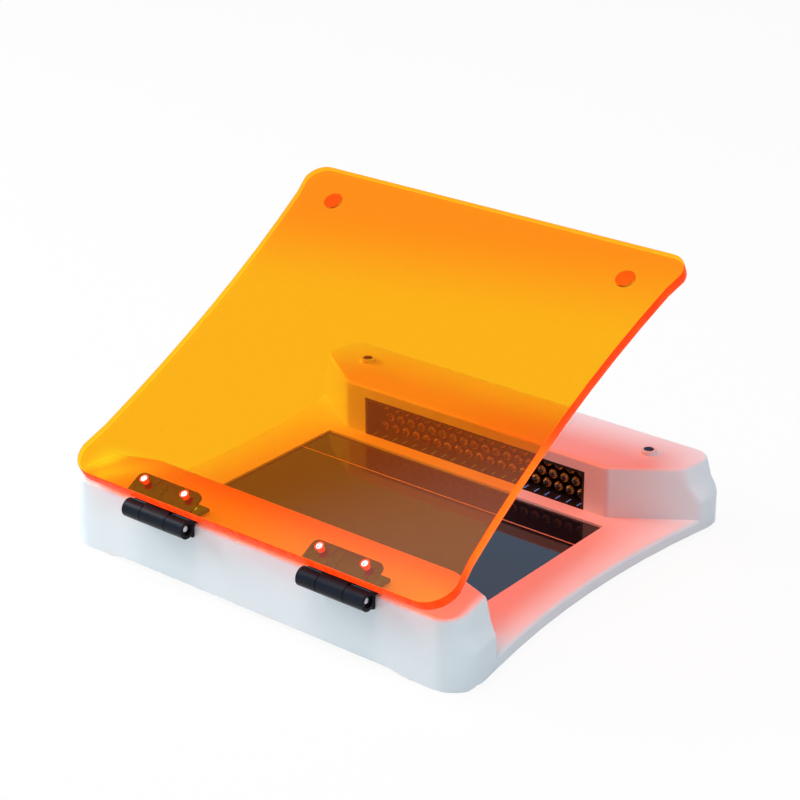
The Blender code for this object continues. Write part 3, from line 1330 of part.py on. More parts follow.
HINGE_BAR = Bar(
    -1,
    HINGE_BAR_DEPTH,
    HINGE_BAR_ELBOW,
    HINGE_BAR_SPLAY,
    HINGE_BAR_CORNER,
    HINGE_BAR_TOP_CORNER,
    HINGE_BAR_BASE_END,
    HINGE_BAR_TOP_END,
    HINGE_BAR_DRAFT,
    HINGE_BAR_END_DRAFT,
)
LED_BAR = Bar(
    1,
    LED_BAR_DEPTH,
    LED_BAR_ELBOW,
    LED_BAR_SPLAY,
    LED_BAR_CORNER,
    LED_BAR_TOP_CORNER,
    LED_BAR_BASE_END,
    LED_BAR_TOP_END,
    LED_BAR_DRAFT,
    LED_BAR_END_DRAFT,
)

clear_scene()
PARTS = new_collection("transilluminator")
CUTTERS = new_collection("cutters", hidden=True)
build()
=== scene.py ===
"""The looks of a bench transilluminator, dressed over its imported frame.

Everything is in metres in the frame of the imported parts: +Z up, X along the hinge side, Y from the hinge
side to the LED bar. The cover stands open, as it is used.
"""

import logging
import math
from collections.abc import Iterable, Sequence
from dataclasses import dataclass
from enum import Enum

import bmesh
import bpy
from mathutils import Matrix, Vector


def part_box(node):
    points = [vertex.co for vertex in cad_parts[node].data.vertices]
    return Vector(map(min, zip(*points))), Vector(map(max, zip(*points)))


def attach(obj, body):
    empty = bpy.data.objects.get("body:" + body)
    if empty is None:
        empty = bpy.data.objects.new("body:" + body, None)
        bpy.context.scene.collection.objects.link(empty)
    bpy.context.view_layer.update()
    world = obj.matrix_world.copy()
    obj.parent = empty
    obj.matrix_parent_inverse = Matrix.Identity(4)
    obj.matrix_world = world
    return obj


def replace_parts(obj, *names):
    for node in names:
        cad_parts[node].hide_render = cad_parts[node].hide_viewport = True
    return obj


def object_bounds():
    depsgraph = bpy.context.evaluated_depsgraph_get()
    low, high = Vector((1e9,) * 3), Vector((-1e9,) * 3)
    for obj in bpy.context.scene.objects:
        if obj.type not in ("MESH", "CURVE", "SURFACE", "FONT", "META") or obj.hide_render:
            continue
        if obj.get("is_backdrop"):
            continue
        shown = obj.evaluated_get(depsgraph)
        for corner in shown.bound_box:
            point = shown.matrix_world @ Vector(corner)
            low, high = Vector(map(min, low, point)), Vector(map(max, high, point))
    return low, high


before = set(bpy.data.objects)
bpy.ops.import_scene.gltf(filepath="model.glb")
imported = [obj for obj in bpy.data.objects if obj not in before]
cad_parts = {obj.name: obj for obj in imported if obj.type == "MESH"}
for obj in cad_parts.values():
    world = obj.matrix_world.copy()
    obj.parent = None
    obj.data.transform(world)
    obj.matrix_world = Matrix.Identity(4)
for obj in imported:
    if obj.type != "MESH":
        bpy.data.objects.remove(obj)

log = logging.getLogger("transilluminator")

Color = tuple[float, float, float]
Point = tuple[float, float, float]
Span = tuple[float, float]

WELD = 2e-6
FLAT_ANGLE = math.radians(0.4)
CREASE = math.radians(38)
BEVEL_CREASE = math.radians(35)
BEVEL_STEPS = 2
ONE_LAYER = 1.0
SIDES = ("left", "right")
UPWARD: Point = (0.0, 0.0, 1.0)
FORWARD: Point = (0.0, -1.0, 0.0)
BLACK: Color = (0.0, 0.0, 0.0)
WHITE: Color = (1.0, 1.0, 1.0)


class Body(Enum):
    """The moving bodies of the frame."""

    BASE = "base"
    COVER = "cover"
    ROCKER = "rocker"


class Slot(Enum):
    """The record's material slots."""

    SHELL = "white_shell"
    AMBER = "amber_acrylic"
    GLASS = "dark_glass"
    DIVIDER = "divider_rib"
    POLYMER = "black_polymer"
    TRAY = "tray_black"
    RUBBER = "foot_rubber"
    PLATE = "plate_sheet"
    SCREW = "screw_steel"
    MAGNET = "magnet_black"
    LAMP = "lamp_board"
    SINK = "sink_aluminium"
    DRIVER = "driver_green"
    STRIKE = "strike_steel"


class Value:
    """One number that varies over a surface, so that sums and products of values read as expressions."""

    def __init__(self, tree: "Tree", socket: bpy.types.NodeSocket) -> None:
        """Keeps the socket and the tree it belongs to."""
        self.tree = tree
        self.socket = socket

    def _with(self, operation: str, first: "Value | float", second: "Value | float") -> "Value":
        """Adds the Math node of one operation.

        Args:
            operation: the Math node's operation.
            first: the left side.
            second: the right side.

        Returns:
            The result.
        """
        made = self.tree.node("ShaderNodeMath", {"operation": operation}, {0: first, 1: second})
        return Value(self.tree, made.outputs[0])

    def __add__(self, other: "Value | float") -> "Value":
        """self + other."""
        return self._with("ADD", self, other)

    def __radd__(self, other: float) -> "Value":
        """other + self."""
        return self._with("ADD", other, self)

    def __sub__(self, other: "Value | float") -> "Value":
        """self - other."""
        return self._with("SUBTRACT", self, other)

    def __rsub__(self, other: float) -> "Value":
        """other - self."""
        return self._with("SUBTRACT", other, self)

    def __mul__(self, other: "Value | float") -> "Value":
        """self * other."""
        return self._with("MULTIPLY", self, other)

    def __rmul__(self, other: float) -> "Value":
        """other * self."""
        return self._with("MULTIPLY", other, self)

    def __abs__(self) -> "Value":
        """The size of the value without its sign."""
        return self._with("ABSOLUTE", self, 0.0)

    def either(self, other: "Value") -> "Value":
        """The larger of the two values."""
        return self._with("MAXIMUM", self, other)

    def step(self, low: float, high: float) -> "Value":
        """Rises smoothly from 0 to 1.

        Args:
            low: the value at which the result is 0.
            high: the value at which the result is 1.

        Returns:
            The eased value.
        """
        settings = {"interpolation_type": "SMOOTHSTEP"}
        inputs = {"Value": self, "From Min": low, "From Max": high}
        made = self.tree.node("ShaderNodeMapRange", settings, inputs)
        return Value(self.tree, made.outputs[0])


class Tree:
    """The nodes of one material or world."""

    def __init__(self, owner: bpy.types.Material | bpy.types.World) -> None:
        """Empties the owner's nodes.

        Args:
            owner: the material or the world.
        """
        owner.use_nodes = True
        self.nodes = owner.node_tree.nodes
        self.links = owner.node_tree.links
        self.nodes.clear()

    def node(self, kind: str, settings: dict | None = None, inputs: dict | None = None) -> bpy.types.Node:
        """Adds one node.

        Args:
            kind: the node's type.
            settings: what is set on the node itself, such as its operation.
            inputs: the value or the link of each socket, by name or number.

        Returns:
            The node.
        """
        made = self.nodes.new(kind)
        for name, value in (settings or {}).items():
            setattr(made, name, value)
        for key, value in (inputs or {}).items():
            self._feed(made.inputs[key], value)
        return made

    def _feed(self, socket: bpy.types.NodeSocket, value: object) -> None:
        """Links a value to a socket, or sets the socket's own number, vector or colour.

        Args:
            socket: the socket that is fed.
            value: a value, another node's socket, a number, a vector or a colour.
        """
        if isinstance(value, Value):
            self.links.new(value.socket, socket)
        elif isinstance(value, bpy.types.NodeSocket):
            self.links.new(value, socket)
        elif socket.type == "RGBA":
            socket.default_value = (*value, 1.0)
        else:
            socket.default_value = value

    def place(self) -> bpy.types.NodeSocket:
        """The point on the surface, in the frame at rest."""
        return self.node("ShaderNodeTexCoord").outputs["Object"]

    def along(self, axis: str) -> Value:
        """One coordinate of the point on the surface.

        Args:
            axis: X, Y or Z.

        Returns:
            The coordinate, in metres.
        """
        split = self.node("ShaderNodeSeparateXYZ", {}, {0: self.place()})
        return Value(self, split.outputs[axis])

    def dot(self, vector: bpy.types.NodeSocket, direction: Point) -> Value:
        """The dot product of a varying vector and a fixed one.

        Args:
            vector: the link of the varying vector.
            direction: the fixed one.

        Returns:
            The product.
        """
        made = self.node("ShaderNodeVectorMath", {"operation": "DOT_PRODUCT"}, {0: vector, 1: direction})
        return Value(self, made.outputs["Value"])

    def backfacing(self) -> Value:
        """1 where a surface is met from behind and 0 where it is met from the front."""
        return Value(self, self.node("ShaderNodeNewGeometry").outputs["Backfacing"])

    def reach(self, direction: Point) -> Value:
        """How far the point lies along a direction of the frame at rest.

        Args:
            direction: a vector. Its length scales the result.

        Returns:
            The distance, in metres.
        """
        return self.dot(self.place(), direction)

    def facing(self, direction: Point) -> Value:
        """How far the surface faces a direction of the frame at rest.

        Args:
            direction: a unit vector.

        Returns:
            1 where the surface faces it, -1 where it faces away.
        """
        return self.dot(self.node("ShaderNodeTexCoord").outputs["Normal"], direction)

    def noise(self, scale: float, detail: float = 2.0, stretch: Point = (1, 1, 1)) -> Value:
        """A cloudy pattern from 0 to 1.

        Args:
            scale: how many clouds there are to a metre.
            detail: how many finer layers it has.
            stretch: how much denser it is along X, Y and Z.

        Returns:
            The pattern.
        """
        spread = self.node("ShaderNodeMapping", {}, {"Vector": self.place(), "Scale": stretch})
        inputs = {"Vector": spread.outputs[0], "Scale": scale, "Detail": detail}
        made = self.node("ShaderNodeTexNoise", {}, inputs)
        return Value(self, made.outputs[0])

    def blend(self, factor: Value, first: object, second: object) -> bpy.types.NodeSocket:
        """Mixes two colours.

        Args:
            factor: 0 gives the first and 1 the second.
            first: a colour or a link.
            second: a colour or a link.

        Returns:
            The mixed colour.
        """
        settings = {"data_type": "RGBA", "clamp_factor": True}
        return self.node("ShaderNodeMix", settings, {0: factor, 6: first, 7: second}).outputs[2]

    def bump(self, height: Value, depth: float, strength: float = 1.0) -> bpy.types.NodeSocket:
        """Turns a height into a normal.

        Args:
            height: the pattern that stands up.
            depth: how high it stands, in metres.
            strength: how much of it shows.

        Returns:
            The normal.
        """
        inputs = {"Height": height, "Distance": depth, "Strength": strength}
        return self.node("ShaderNodeBump", {}, inputs).outputs[0]

    def mix(self, factor: Value, first: bpy.types.Node, second: bpy.types.Node) -> bpy.types.Node:
        """Mixes two shaders."""
        return self.node("ShaderNodeMixShader", {}, {0: factor, 1: first.outputs[0], 2: second.outputs[0]})

    def ray(self, *kinds: str) -> Value:
        """1 for rays of some kinds and 0 for all others.

        Args:
            kinds: names from Light Path, without their "Is" and "Ray".

        Returns:
            The value.
        """
        path = self.node("ShaderNodeLightPath")
        found = [Value(self, path.outputs[f"Is {kind} Ray"]) for kind in kinds]
        total = found[0]
        for other in found[1:]:
            total = total.either(other)
        return total


@dataclass(frozen=True)
class Finish:
    """What every finish has: a name, the record's slot, a colour and a roughness."""

    name: str
    slot: Slot
    color: Color
    roughness: float

    def material(self) -> bpy.types.Material:
        """Makes the material, or gives the one that was made before.

        Returns:
            The material.
        """
        known = bpy.data.materials.get(self.name)
        if known:
            return known
        made = bpy.data.materials.new(self.name)
        tree = Tree(made)
        tree.node("ShaderNodeOutputMaterial", {}, {"Surface": self.surface(tree).outputs[0]})
        return made

    def surface(self, tree: Tree) -> bpy.types.Node:
        """A plain surface of the finish's colour and roughness."""
        inputs = {"Base Color": self.color, "Roughness": self.roughness}
        return tree.node("ShaderNodeBsdfPrincipled", {}, inputs)


@dataclass(frozen=True)
class Moulded(Finish):
    """Moulded plastic: spark-eroded grain, faint clouds from the flow of the melt, and rubbed patches."""

    shade: Color = (0.5, 0.5, 0.5)
    grain_scale: float = 2600.0
    grain_depth: float = 0.000012
    cloud_scale: float = 24.0
    cloud_band: Span = (0.3, 0.75)
    cloud_share: float = 0.7
    detail: float = 3.0
    rub_density: float = 3.5
    rub_detail: float = 5.0
    rub_stretch: Point = (1.0, 1.6, 1.0)
    rub_dull: float = 0.16
    grain_dull: float = 0.08
    gloss: float = 0.5

    def surface(self, tree: Tree) -> bpy.types.Node:
        """Grain in the normal, clouds in the colour and both in the roughness.

        Args:
            tree: the material's nodes.

        Returns:
            The node that ends in the surface.
        """
        grain = tree.noise(self.grain_scale, self.detail)
        cloud = tree.noise(self.cloud_scale, self.detail)
        rubbed = tree.noise(self.cloud_scale * self.rub_density, self.rub_detail, self.rub_stretch)
        mottle = cloud.step(*self.cloud_band) * self.cloud_share + grain * (1.0 - self.cloud_share)
        even = self.roughness - (self.rub_dull + self.grain_dull) / 2
        inputs = {
            "Base Color": tree.blend(mottle, self.color, self.shade),
            "Roughness": rubbed * self.rub_dull + grain * self.grain_dull + even,
            "Specular IOR Level": self.gloss,
            "Normal": tree.bump(grain, self.grain_depth),
        }
        return tree.node("ShaderNodeBsdfPrincipled", {}, inputs)


@dataclass(frozen=True)
class TrayPlastic(Moulded):
    """The tray's black plastic, whose floor ribs carry a painted glint: the blue of the lamps, painted in
    colour and glow.
    """

    # colour and strength of the painted glint on the rib tops
    rib_glint_color: Color = (0.12, 0.32, 0.85)
    rib_glint_glow: float = 0.35
    rib_low: Span = (0.0076, 0.0077)
    rib_high: Span = (0.0082, 0.0086)
    rib_facing: Span = (0.5, 0.9)
    tray_dull: float = 0.1

    def surface(self, tree: Tree) -> bpy.types.Node:
        """Black grain, and a painted pale blue glint, which also glows, on the tops of the floor ribs.

        Args:
            tree: the material's nodes.

        Returns:
            The node that ends in the surface.
        """
        grain = tree.noise(self.grain_scale, self.detail)
        cloud = tree.noise(self.cloud_scale, self.detail)
        height = tree.along("Z")
        # painted glint: pale blue colour and glow on the upward-facing tops of the floor ribs
        at_tops = height.step(*self.rib_low) * (1.0 - height.step(*self.rib_high))
        ribs = at_tops * tree.facing(UPWARD).step(*self.rib_facing)
        black = tree.blend(cloud, self.color, self.shade)
        inputs = {
            "Base Color": tree.blend(ribs, black, self.rib_glint_color),
            "Roughness": grain * self.tray_dull + self.roughness,
            "Emission Color": tree.blend(ribs, BLACK, self.rib_glint_color),
            "Emission Strength": self.rib_glint_glow,
            "Normal": tree.bump(grain, self.grain_depth),
        }
        return tree.node("ShaderNodeBsdfPrincipled", {}, inputs)


@dataclass(frozen=True)
class Acrylic(Finish):
    """What the faces and the edges of the amber sheet share: where the open cover lies in the frame."""

    axis: Point = (0.0, 0.0, 0.0)
    opening: float = 0.0

    def upward(self) -> Point:
        """The direction that the sheet's top faces."""
        return (0.0, -math.sin(self.opening), math.cos(self.opening))

    def outward(self) -> Point:
        """The direction along the sheet, away from the hinge."""
        return (0.0, math.cos(self.opening), math.sin(self.opening))

    def reach(self, tree: Tree) -> Value:
        """How far a point lies from the hinge's axis, along the sheet.

        Args:
            tree: the material's nodes.

        Returns:
            The distance, in metres.
        """
        outward = self.outward()
        return tree.reach(outward) - Vector(outward).dot(Vector(self.axis))


@dataclass(frozen=True)
class AmberSheet(Acrylic):
    """The faces of cast fluorescent acrylic: clear amber that darkens to orange at the far end, with painted
    light and glow.
    """

    near_painted_light_color: Color = (0.9, 0.95, 0.012)
    near_band: Span = (0.006, 0.024)
    near_end: Span = (-0.098, -0.08)
    far_color: Color = (0.9, 0.28, 0.006)
    far_band: Span = (0.135, 0.19)
    far_slant: float = 0.144
    speck_color: Color = (0.9, 0.08, 0.004)
    speck_scale: float = 420.0
    speck_band: Span = (0.79, 0.82)
    speck_share: float = 0.5
    scuff_scale: float = 900.0
    scuff_detail: float = 4.0
    scuff_stretch: Point = (1.0, 0.15, 1.0)
    scuff_band: Span = (0.55, 0.9)
    scuff_dull: float = 0.05
    wave_scale: float = 30.0
    wave_height: float = 0.00002
    wave_share: float = 0.4
    painted_sheet_glow: Color = (0.08, 0.006, 0.0004)
    cast_color: Color = (1.0, 0.28, 0.09)
    bend: float = 1.49

    def surface(self, tree: Tree) -> bpy.types.Node:
        """Amber glass with specks and scuffs, painted light near the hinge and a faint painted glow, and a
        tinted clear sheet for the light that passes through it.

        Args:
            tree: the material's nodes.

        Returns:
            The node that ends in the surface.
        """
        reach = self.reach(tree)
        across = tree.along("X")
        far = (reach - across * self.far_slant).step(*self.far_band)
        # painted light: the sheet turns yellow near the hinge, except at the left corner, so the shell under
        # its near edge shows lighter
        near = (1.0 - reach.step(*self.near_band)) * across.step(*self.near_end)
        body = tree.blend(near, tree.blend(far, self.color, self.far_color), self.near_painted_light_color)
        specks = tree.noise(self.speck_scale, ONE_LAYER).step(*self.speck_band) * self.speck_share
        scuff = tree.noise(self.scuff_scale, self.scuff_detail, self.scuff_stretch).step(*self.scuff_band)
        waves = tree.noise(self.wave_scale, ONE_LAYER)
        inputs = {
            "Base Color": tree.blend(specks, body, self.speck_color),
            "Roughness": scuff * self.scuff_dull + self.roughness,
            "IOR": self.bend,
            "Transmission Weight": 1.0,
            # painted glow: a faint constant red emission over the whole sheet
            "Emission Color": self.painted_sheet_glow,
            "Emission Strength": 1.0,
            "Normal": tree.bump(waves, self.wave_height, self.wave_share),
        }
        sheet = tree.node("ShaderNodeBsdfPrincipled", {}, inputs)
        cast = tree.node("ShaderNodeBsdfTransparent", {}, {"Color": self.cast_color})
        return tree.mix(tree.ray("Shadow", "Diffuse"), sheet, cast)


@dataclass(frozen=True)
class PaintedEdgeGlow(Acrylic):
    """The edge of fluorescent acrylic, with a painted red glow for the light that the sheet gathers and gives
    out there.
    """

    painted_lit_color: Color = (1.0, 0.22, 0.006)
    lit_from: Span = (0.015, 0.035)
    lit_to: Span = (0.08, 0.1)
    lit_share: float = 0.8
    painted_upper_color: Color = (1.0, 0.1, 0.006)
    upper_lean: Span = (0.3, 0.7)
    painted_lower_color: Color = (1.0, 0.012, 0.07)
    lower_lean: Span = (0.2, 0.6)
    painted_inner_color: Color = (1.0, 0.78, 0.14)
    outline_side: Span = (0.078, 0.086)
    outline_end: Span = (0.1, 0.12)
    streak_scale: float = 260.0
    streak_stretch: Point = (1.0, 0.3, 0.3)
    streak_band: Span = (0.35, 0.7)
    streak_share: float = 0.15
    streak_dull: float = 0.1
    streak_height: float = 0.00002
    gloss: float = 0.03
    glow: float = 0.92

    def surface(self, tree: Tree) -> bpy.types.Node:
        """Painted glow: red from outside, with a pink lower rounding and an orange length, and painted yellow
        light from inside.

        Args:
            tree: the material's nodes.

        Returns:
            The node that ends in the surface.
        """
        lean = tree.facing(self.upward())
        reach = self.reach(tree)
        # painted glow: an orange length, a red upper and a pink lower rounding, and yellow where the edge is
        # seen from inside the sheet
        lit = reach.step(*self.lit_from) * (1.0 - reach.step(*self.lit_to))
        streaks = tree.noise(self.streak_scale, stretch=self.streak_stretch).step(*self.streak_band)
        wall = tree.blend(lit * self.lit_share + streaks * self.streak_share, self.color, self.painted_lit_color)
        upper = tree.blend(lean.step(*self.upper_lean), wall, self.painted_upper_color)
        outside = tree.blend((0.0 - lean).step(*self.lower_lean), upper, self.painted_lower_color)
        outline = abs(tree.along("X")).step(*self.outline_side).either(reach.step(*self.outline_end))
        inside = tree.backfacing() * outline
        inputs = {
            "Base Color": tree.blend(inside, self.color, self.painted_inner_color),
            "Roughness": streaks * self.streak_dull + self.roughness,
            "Specular IOR Level": self.gloss,
            "Emission Color": tree.blend(inside, outside, self.painted_inner_color),
            "Emission Strength": self.glow,
            "Normal": tree.bump(streaks, self.streak_height),
        }
        return tree.node("ShaderNodeBsdfPrincipled", {}, inputs)


@dataclass(frozen=True)
class FilterGlass(Finish):
    """Blue-black filter glass with the faint smears that a wiped plate keeps."""

    smear: Color = (0.02, 0.025, 0.03)
    wipe_scale: float = 42.0
    wipe_detail: float = 5.0
    wipe_stretch: Point = (0.35, 1.0, 1.0)
    wipe_band: Span = (0.45, 0.8)
    wipe_share: float = 0.6
    wipe_dull: float = 0.035
    dust_scale: float = 5200.0
    dust_band: Span = (0.76, 0.82)
    dust_share: float = 0.4
    dust_dull: float = 0.2
    wave_scale: float = 9.0
    wave_height: float = 0.00001
    wave_share: float = 0.3
    bend: float = 1.52

    def surface(self, tree: Tree) -> bpy.types.Node:
        """A polished dark plate with wipe marks in its roughness and colour.

        Args:
            tree: the material's nodes.

        Returns:
            The node that ends in the surface.
        """
        wiped = tree.noise(self.wipe_scale, self.wipe_detail, self.wipe_stretch).step(*self.wipe_band)
        dust = tree.noise(self.dust_scale, ONE_LAYER).step(*self.dust_band)
        marks = wiped * self.wipe_share + dust * self.dust_share
        waves = tree.noise(self.wave_scale, ONE_LAYER)
        inputs = {
            "Base Color": tree.blend(marks, self.color, self.smear),
            "Roughness": wiped * self.wipe_dull + dust * self.dust_dull + self.roughness,
            "IOR": self.bend,
            "Normal": tree.bump(waves, self.wave_height, self.wave_share),
        }
        return tree.node("ShaderNodeBsdfPrincipled", {}, inputs)


@dataclass(frozen=True)
class Metal(Finish):
    """Metal with lines left by a brush, a die or a lathe, and some dulled patches."""

    dulled: Color = (0.4, 0.4, 0.42)
    line_scale: float = 900.0
    line_detail: float = 3.0
    line_stretch: Point = (0.05, 1.0, 1.0)
    line_depth: float = 0.000006
    line_dull: float = 0.18
    patch_scale: float = 130.0
    patch_detail: float = 4.0
    patch_band: Span = (0.4, 0.75)
    patch_share: float = 0.7
    patch_dull: float = 0.08
    polish: float = 0.1

    def surface(self, tree: Tree) -> bpy.types.Node:
        """Fine lines in the normal and roughness, patches in the colour.

        Args:
            tree: the material's nodes.

        Returns:
            The node that ends in the surface.
        """
        lines = tree.noise(self.line_scale, self.line_detail, self.line_stretch)
        patches = tree.noise(self.patch_scale, self.patch_detail).step(*self.patch_band)
        marks = patches * self.patch_share + lines * (1.0 - self.patch_share)
        even = self.roughness - self.polish
        inputs = {
            "Base Color": tree.blend(marks, self.color, self.dulled),
            "Metallic": 1.0,
            "Roughness": lines * self.line_dull + patches * self.patch_dull + even,
            "Normal": tree.bump(lines, self.line_depth),
        }
        return tree.node("ShaderNodeBsdfPrincipled", {}, inputs)


@dataclass(frozen=True)
class Lens(Finish):
    """An amber-tinted LED lens: a dark middle and a dark side under clear gloss, with a painted reflection of
    the amber sheet as an orange ring round the middle.
    """

    painted_ring_color: Color = (0.62, 0.2, 0.03)
    painted_glint_glow: float = 0.2
    ring_outside: Span = (0.3, 0.5)
    ring_inside: Span = (0.72, 0.88)
    ring_share: float = 0.5
    glint_scale: float = 1100.0
    glint_band: Span = (0.42, 0.6)
    glint_share: float = 0.4
    glint_dull: float = 0.08

    def surface(self, tree: Tree) -> bpy.types.Node:
        """A painted reflection on the shoulder of the dome: an orange ring, broken into painted glints that
        glow.

        Args:
            tree: the material's nodes.

        Returns:
            The node that ends in the surface.
        """
        ahead = tree.facing(FORWARD)
        # painted reflection and glints: an orange ring where the dome's shoulder faces forward, with glowing
        # flecks in it
        ring = ahead.step(*self.ring_outside) * (1.0 - ahead.step(*self.ring_inside))
        glints = tree.noise(self.glint_scale).step(*self.glint_band)
        painted_reflection = ring * self.ring_share + ring * glints * self.glint_share
        inputs = {
            "Base Color": tree.blend(painted_reflection, self.color, self.painted_ring_color),
            "Roughness": glints * self.glint_dull + self.roughness,
            "Emission Color": tree.blend(ring * glints, BLACK, self.painted_ring_color),
            "Emission Strength": self.painted_glint_glow,
        }
        return tree.node("ShaderNodeBsdfPrincipled", {}, inputs)


@dataclass(frozen=True)
class Board(Finish):
    """A circuit board under solder mask, with tracks that stand up a little."""

    track: Color = (0.03, 0.2, 0.08)
    pitch: float = 620.0
    track_band: Span = (0.05, 0.12)
    track_height: float = 0.00003
    track_dull: float = 0.1

    def surface(self, tree: Tree) -> bpy.types.Node:
        """Tracks from a cell pattern, in the colour and the normal.

        Args:
            tree: the material's nodes.

        Returns:
            The node that ends in the surface.
        """
        settings = {"feature": "DISTANCE_TO_EDGE"}
        cells = tree.node("ShaderNodeTexVoronoi", settings, {"Vector": tree.place(), "Scale": self.pitch})
        tracks = 1.0 - Value(tree, cells.outputs["Distance"]).step(*self.track_band)
        inputs = {
            "Base Color": tree.blend(tracks, self.color, self.track),
            "Roughness": tracks * self.track_dull + self.roughness,
            "Normal": tree.bump(tracks, self.track_height),
        }
        return tree.node("ShaderNodeBsdfPrincipled", {}, inputs)


AMBER_ORANGE: Color = (0.86, 0.455, 0.006)
# the painted glow colour of the sheet's edge
EDGE_PAINTED_RED: Color = (1.0, 0.035, 0.003)

SHELL_WHITE = Moulded("shell_white", Slot.SHELL, (0.77, 0.86, 0.91), 0.42, shade=(0.73, 0.82, 0.88))
FILTER_DARK = FilterGlass("filter_dark", Slot.GLASS, (0.010, 0.014, 0.024), 0.03)
DIVIDER_WHITE = Moulded(
    "divider_white", Slot.DIVIDER, (0.8, 0.62, 0.5), 0.4, shade=(0.7, 0.5, 0.4), cloud_scale=90.0
)
HINGE_BLACK = Moulded(
    "hinge_black",
    Slot.POLYMER,
    (0.004, 0.0055, 0.010),
    0.33,
    shade=(0.006, 0.009, 0.017),
    cloud_scale=140.0,
    gloss=0.13,
)
TRAY_BLACK = TrayPlastic(
    "tray_black_plastic", Slot.TRAY, (0.006, 0.006, 0.009), 0.35, shade=(0.012, 0.011, 0.014)
)
FOOT_RUBBER = Moulded(
    "foot_grey_rubber",
    Slot.RUBBER,
    (0.035, 0.035, 0.038),
    0.75,
    shade=(0.06, 0.06, 0.062),
    grain_depth=0.00004,
)
PLATE_METAL = Metal("plate_brushed", Slot.PLATE, (0.62, 0.63, 0.65), 0.38, dulled=(0.5, 0.51, 0.53))
SCREW_PLATED = Metal(
    "screw_plated", Slot.SCREW, (0.75, 0.76, 0.78), 0.36, dulled=(0.62, 0.63, 0.66), line_scale=2600.0
)
SINK_METAL = Metal("sink_extruded", Slot.SINK, (0.72, 0.73, 0.75), 0.36, dulled=(0.6, 0.61, 0.63))
STRIKE_METAL = Metal("strike_plated", Slot.STRIKE, (0.55, 0.72, 0.66), 0.45, dulled=(0.38, 0.48, 0.44))
MAGNET_DARK = Metal("magnet_nickel", Slot.MAGNET, (0.035, 0.037, 0.045), 0.4, dulled=(0.02, 0.021, 0.026))
LAMP_BOARD = Board("lamp_board_mask", Slot.LAMP, (0.012, 0.010, 0.012), 0.4, track=(0.03, 0.024, 0.022))
LAMP_LENS = Lens("lamp_lens", Slot.LAMP, (0.02, 0.007, 0.003), 0.1)
DRIVER_BOARD = Board("driver_board_mask", Slot.DRIVER, (0.015, 0.11, 0.045), 0.35)


def finished(item: bpy.types.Object, finish: Finish, body: Body) -> bpy.types.Object:
    """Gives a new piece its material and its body.

    Args:
        item: the piece, in its place.
        finish: what it is finished with.
        body: the body it rides on.

    Returns:
        The piece.
    """
    item.data.materials.clear()
    item.data.materials.append(finish.material())
    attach(item, body.value)
    log.info("%s on %s, %s", item.name, body.value, finish.name)
    return item


def new_piece(name: str, mesh: bpy.types.Mesh) -> bpy.types.Object:
    """Links a mesh to the scene as a smooth object.

    Args:
        name: the piece's name.
        mesh: its mesh, in its place.

    Returns:
        The object.
    """
    mesh.shade_smooth()
    mesh.set_sharp_from_angle(angle=CREASE)
    item = bpy.data.objects.new(name, mesh)
    bpy.context.scene.collection.objects.link(item)
    return item


def refine(item: bpy.types.Object, edge: float) -> None:
    """Rounds an object's sharp edges and evens its normals.

    Args:
        item: the object.
        edge: the width of the rounding, in metres. 0 leaves the edges alone.
    """
    if edge:
        rounding = item.modifiers.new("edge", "BEVEL")
        rounding.width = edge
        rounding.segments = BEVEL_STEPS
        rounding.limit_method = "ANGLE"
        rounding.angle_limit = BEVEL_CREASE
    even = item.modifiers.new("even", "WEIGHTED_NORMAL")
    even.keep_sharp = True


def welded_mesh(node: str, name: str) -> bpy.types.Mesh:
    """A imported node's mesh with its triangles sewn together and its flat faces whole.

    Args:
        node: the node's name.
        name: the new mesh's name.

    Returns:
        The mesh.
    """
    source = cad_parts[node].data
    points = [tuple(vertex.co) for vertex in source.vertices]
    faces = [tuple(face.vertices) for face in source.polygons]
    mesh = bpy.data.meshes.new(name)
    mesh.from_pydata(points, [], faces)
    bm = bmesh.new()
    bm.from_mesh(mesh)
    bmesh.ops.remove_doubles(bm, verts=bm.verts, dist=WELD)
    bmesh.ops.dissolve_limit(bm, angle_limit=FLAT_ANGLE, verts=bm.verts, edges=bm.edges)
    bm.to_mesh(mesh)
    bm.free()
    return mesh


def dress(node: str, finish: Finish, body: Body = Body.BASE, edge: float = 0.0) -> bpy.types.Object:
    """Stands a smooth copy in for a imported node.

    Args:
        node: the node's name.
        finish: what it is finished with.
        body: the body it rides on.
        edge: the rounding of its sharp edges, in metres.

    Returns:
        The piece.
    """
    name = f"{node}_skin"
    item = new_piece(name, welded_mesh(node, name))
    refine(item, edge)
    finished(item, finish, body)
    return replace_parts(item, node)


def turned_mesh(name: str, profile: Sequence[tuple[float, float]], segments: int) -> bpy.types.Mesh:
    """A mesh turned about +Z.

    Args:
        name: the mesh's name.
        profile: (radius, height) pairs from one end of the axis to the other.
        segments: how many sides it has.

    Returns:
        The mesh.
    """
    bm = bmesh.new()
    rings = []
    for radius, height in profile:
        if radius == 0:
            rings.append([bm.verts.new((0, 0, height))])
            continue
        ring = []
        for k in range(segments):
            turn = 2 * math.pi * k / segments
            ring.append(bm.verts.new((radius * math.cos(turn), radius * math.sin(turn), height)))
        rings.append(ring)
    for low, high in zip(rings, rings[1:]):
        for k in range(segments):
            after = (k + 1) % segments
            if len(low) == 1:
                corners = [low[0], high[after], high[k]]
            elif len(high) == 1:
                corners = [low[k], low[after], high[0]]
            else:
                corners = [low[k], low[after], high[after], high[k]]
            bm.faces.new(corners)
    bmesh.ops.recalc_face_normals(bm, faces=bm.faces)
    mesh = bpy.data.meshes.new(name)
    bm.to_mesh(mesh)
    bm.free()
    return mesh


